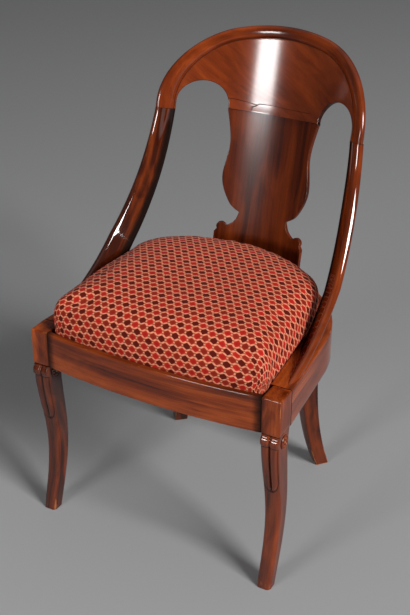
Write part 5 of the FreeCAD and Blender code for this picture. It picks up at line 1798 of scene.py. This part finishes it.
    def swell(self, piece, pinned):
        """A short cloth run under pressure, held at the rails, with each point's travel capped."""
        rest = np.array([vertex.co for vertex in piece.data.vertices])
        held = piece.vertex_groups.new(name="held")
        held.add(pinned, 1.0, "REPLACE")
        modifier = piece.modifiers.new("Cloth", "CLOTH")
        settings = modifier.settings
        settings.use_pressure = True
        settings.uniform_pressure_force = self.PRESSURE
        settings.vertex_group_mass = "held"
        settings.tension_stiffness = self.STIFFNESS
        settings.compression_stiffness = self.STIFFNESS
        settings.bending_stiffness = self.BENDING
        settings.effector_weights.gravity = 0.0
        settings.quality = 4
        scene = bpy.context.scene
        for number in range(1, self.FRAMES + 1):
            scene.frame_set(number)
        graph = bpy.context.evaluated_depsgraph_get()
        swelled = piece.evaluated_get(graph).to_mesh()
        moved = np.array([vertex.co for vertex in swelled.vertices]) - rest
        piece.evaluated_get(graph).to_mesh_clear()
        reach = np.linalg.norm(moved, axis=1)
        moved *= np.minimum(1.0, self.MOST_TRAVEL / np.maximum(reach, 1e-9))[:, None]
        piece.modifiers.remove(modifier)
        piece.vertex_groups.remove(held)
        scene.frame_set(1)
        piece.data.vertices.foreach_set("co", (rest + moved).astype(np.float32).ravel())
        piece.data.update()


class GONDOLA_OT_underside(bpy.types.Operator):
    """Hessian and interlaced webbing under the stuffing"""
    bl_idname = "gondola.underside"
    bl_label = "Hessian and webbing"

    WIDTH = 0.050
    STEP = 0.062
    STRIPS = 3
    # Ends of the lengthwise strips before and behind the ring's centre, half length of the crosswise ones
    # and how far before the centre the middle one lies
    FRONT = 0.157
    BACK = 0.136
    HALF = 0.165
    SET = 0.033
    # Height of the lattice, where the ends lie from it, rise of a strip over another, and thickness
    MIDDLE = 0.3806
    LONG_END = -0.0005
    CROSS_END = 0.0006
    RISE = 0.00095
    THICK = 0.0012
    NEAR = (0.032, 0.022)
    STRIP_STEPS = 90
    WIDTH_STEPS = 10
    # The hessian: inset from the seat's edge, points along an end and a side, its grid of points, its two
    # faces, and the depth of its waves and their turns to the metre
    INSET = 0.0065
    COUNTS = (40, 30)
    GRID = (20, 40)
    GRID_FRONT = 0.208
    SPACING = 0.0095
    CLEAR = 0.004
    FACES = (0.3834, 0.3841)
    SAG = 0.00035
    WAVES = (95.0, 88.0)
    TAPE = ((0.19, 0.12, 0.06), (0.46, 0.33, 0.19), (0.30, 0.10, 0.06))
    SACKING = ((0.14, 0.09, 0.045), (0.38, 0.27, 0.15), (0.38, 0.27, 0.15))

    def execute(self, context):
        rails = context.scene.gondola_rails
        centre = rails.centre_y
        tape = finish("webbing", jute, 0.0030, 0.0019, 900.0, self.TAPE)
        for number in range(self.STRIPS):
            offset = (number - 1) * self.STEP
            form = self.strip(offset, centre - self.FRONT, centre + self.BACK, number, True, rails)
            piece = form.cloth(f"web_long_{number + 1}", "webbing", tape, "webbing_lengthwise")
            form = self.strip(centre - self.SET + offset, -self.HALF, self.HALF, number, False, rails)
            piece = form.cloth(f"web_cross_{number + 1}", "webbing", tape, "webbing_crosswise")
        self.hessian(context.scene.gondola_seat, rails)
        return {"FINISHED"}

    def strip(self, offset, start, end, number, lengthwise, rails):
        """One strip, over and under those it crosses."""
        form = Form()
        rows = []
        base = rails.centre_y - self.SET if lengthwise else 0.0
        crossings = [base + (other - 1) * self.STEP for other in range(self.STRIPS)]
        outline = [(step / self.WIDTH_STEPS - 0.5, 0.5) for step in range(self.WIDTH_STEPS + 1)]
        outline += [(-aside, -0.5) for aside, _ in outline]
        for row in range(self.STRIP_STEPS + 1):
            along = between(start, end, row / self.STRIP_STEPS)
            height = self.MIDDLE + (self.LONG_END if lengthwise else self.CROSS_END)
            for other, spot in enumerate(crossings):
                over = 1 if (other + number) % 2 == (0 if lengthwise else 1) else -1
                near = smooth(*self.NEAR, abs(along - spot))
                height = between(height, self.MIDDLE + over * self.RISE, near)
            line = []
            for aside, thick in outline:
                across = offset + aside * self.WIDTH
                x, y = (across, along) if lengthwise else (along, across)
                line.append(form.point((x, y, height + thick * self.THICK), (aside * self.WIDTH, along, 0.0)))
            rows.append(line)
        form.tube(rows)
        return form

    def hessian(self, seat, rails):
        """The cloth over the webbing, cut to the seat's plan."""
        edge = [Vector(spot) for spot in SeatPlan(seat, rails).outline(self.INSET, 0.0, self.COUNTS)]
        line = np.array(edge)
        loose = grid_points(*self.GRID, (self.SPACING, self.SPACING), rails.centre_y - self.GRID_FRONT,
                            well_inside(line, self.CLEAR))
        flat, triangles, rim = triangulated(edge, (), loose)
        form = Form()
        rims = []
        for level, height in enumerate(self.FACES):
            start = len(form.spots)
            for x, y in flat:
                sag = self.SAG * math.sin(x * self.WAVES[0]) * math.sin(y * self.WAVES[1])
                form.point((x, y, height + sag), (x, y, 0.0))
            for triangle in triangles:
                corners = [start + number for number in triangle]
                form.face(corners if level else corners[::-1])
            rims.append([start + number for number in rim])
        form.band(*rims)
        sacking = finish("hessian", jute, 0.0021, 0.0021, 700.0, self.SACKING)
        piece = form.cloth("hessian_cloth", "hessian", sacking, "hessian")
        x, y = line[:, 0], line[:, 1]


class GONDOLA_OT_fittings(bpy.types.Operator):
    """Finishes of the hidden frames, glue blocks, dowels, tacks and screws"""
    bl_idname = "gondola.fittings"
    bl_label = "Fittings"

    WOODEN = ("corner_block_left", "corner_block_right", "seat_rail_front", "seat_rail_back",
              "seat_rail_left", "seat_rail_right", "crest_dowels", "rail_dowels", "stile_dowels",
              "seat_dowels")
    METAL = ("corner_block_screws", "webbing_tacks", "cover_tacks")

    def execute(self, context):
        wood = finish("beech", plain_wood)
        steel = finish("blued_steel", dull_steel)
        for names, made in ((self.WOODEN, wood), (self.METAL, steel)):
            for name in names:
                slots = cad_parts[name].data.materials
                slots.clear()
                slots.append(made)
        return {"FINISHED"}


# Stage

class GONDOLA_OT_stage(bpy.types.Operator):
    """Pale floor, soft studio lights and the camera"""
    bl_idname = "gondola.stage"
    bl_label = "Stage"

    EYE = (0.8433, -1.5857, 1.3558)
    AZIMUTH = math.radians(28.858)
    ELEVATION = math.radians(28.809)
    LENS = 65.98
    FLOOR_REACH = 30.0

    def execute(self, context):
        look = context.scene.gondola_stage
        scene = context.scene
        scene.view_settings.view_transform = "Standard"
        self.floor(look)
        self.surroundings(scene, look)
        self.light("key_light", (-0.62, -2.75, 1.30), (0.0, 0.10, 0.72), (0.80, 0.55), look.key)
        self.light("haze_light", (-0.55, -2.95, 0.95), (0.0, 0.10, 0.60), (1.05, 1.50), look.haze)
        self.light("side_light", (6.2, -1.8, 4.25), (0.0, 0.0, 0.45), (2.5, 2.5), look.side)
        self.light("sky_light", (0.0, 1.0, 5.0), (0.0, 0.4, 0.0), (5.0, 5.0), look.sky)
        self.camera(scene)
        return {"FINISHED"}

    def floor(self, look):
        mesh = bpy.data.meshes.new("studio_floor")
        corners = ((-1, -1), (1, -1), (1, 1), (-1, 1))
        mesh.from_pydata([(x * self.FLOOR_REACH, y * self.FLOOR_REACH, 0) for x, y in corners], [],
                         [(0, 1, 2, 3)])
        floor = bpy.data.objects.new("studio_floor", mesh)
        bpy.context.scene.collection.objects.link(floor)
        paint = Paint("floor_paint")
        mesh.materials.append(paint.coat(Base_Color=tuple(look.floor), Roughness=0.75,
                                         Specular_IOR_Level=0.2))

    def surroundings(self, scene, look):
        world = bpy.data.worlds.new("studio")
        world.use_nodes = True
        shade = world.node_tree.nodes["Background"]
        shade.inputs["Color"].default_value = (*look.air, 1.0)
        shade.inputs["Strength"].default_value = 1.0
        scene.world = world

    def light(self, name, spot, goal, size, power):
        lamp = bpy.data.lights.new(name, "AREA")
        lamp.shape = "RECTANGLE"
        lamp.size, lamp.size_y = size
        lamp.energy = power
        holder = bpy.data.objects.new(name, lamp)
        holder.location = spot
        holder.rotation_mode = "QUATERNION"
        holder.rotation_quaternion = (Vector(goal) - Vector(spot)).to_track_quat("-Z", "Y")
        bpy.context.scene.collection.objects.link(holder)

    def camera(self, scene):
        lens = bpy.data.cameras.new("view")
        lens.lens = self.LENS
        lens.sensor_width = 36.0
        lens.sensor_fit = "AUTO"
        holder = bpy.data.objects.new("view", lens)
        holder.location = self.EYE
        holder.rotation_mode = "XYZ"
        holder.rotation_euler = (math.pi / 2 - self.ELEVATION, 0.0, self.AZIMUTH)
        scene.collection.objects.link(holder)
        scene.camera = holder


class GONDOLA_PT_pieces(bpy.types.Panel):
    """Pieces of the chair"""
    bl_idname = "GONDOLA_PT_pieces"
    bl_label = "Gondola chair"
    bl_space_type = "VIEW_3D"
    bl_region_type = "UI"
    bl_category = "Gondola chair"

    def draw(self, context):
        for step in STEPS:
            self.layout.operator(step.bl_idname)


STEPS = (GONDOLA_OT_stage, GONDOLA_OT_crest, GONDOLA_OT_splat, GONDOLA_OT_stiles, GONDOLA_OT_seat_rails,
         GONDOLA_OT_front_legs, GONDOLA_OT_rear_legs, GONDOLA_OT_cushion, GONDOLA_OT_underside,
         GONDOLA_OT_fittings)
GROUPS = {"gondola_back": BackSizes, "gondola_rails": RailSizes, "gondola_stiles": StileSizes,
          "gondola_legs": LegSizes, "gondola_seat": SeatSizes, "gondola_wood": WoodLook,
          "gondola_cloth": ClothLook, "gondola_stage": StageLook}


def register():
    for made in (*GROUPS.values(), *STEPS, GONDOLA_PT_pieces):
        bpy.utils.register_class(made)
    for name, group in GROUPS.items():
        setattr(bpy.types.Scene, name, PointerProperty(type=group))


def unregister():
    for name in GROUPS:
        delattr(bpy.types.Scene, name)
    for made in (GONDOLA_PT_pieces, *reversed(STEPS), *GROUPS.values()):
        bpy.utils.unregister_class(made)


def main():
    register()
    bpy.ops.gondola.stage()
    bpy.ops.gondola.crest()
    bpy.ops.gondola.splat()
    bpy.ops.gondola.stiles()
    bpy.ops.gondola.seat_rails()
    bpy.ops.gondola.front_legs()
    bpy.ops.gondola.rear_legs()
    bpy.ops.gondola.cushion()
    bpy.ops.gondola.underside()
    bpy.ops.gondola.fittings()


if __name__ == "__main__":
    main()
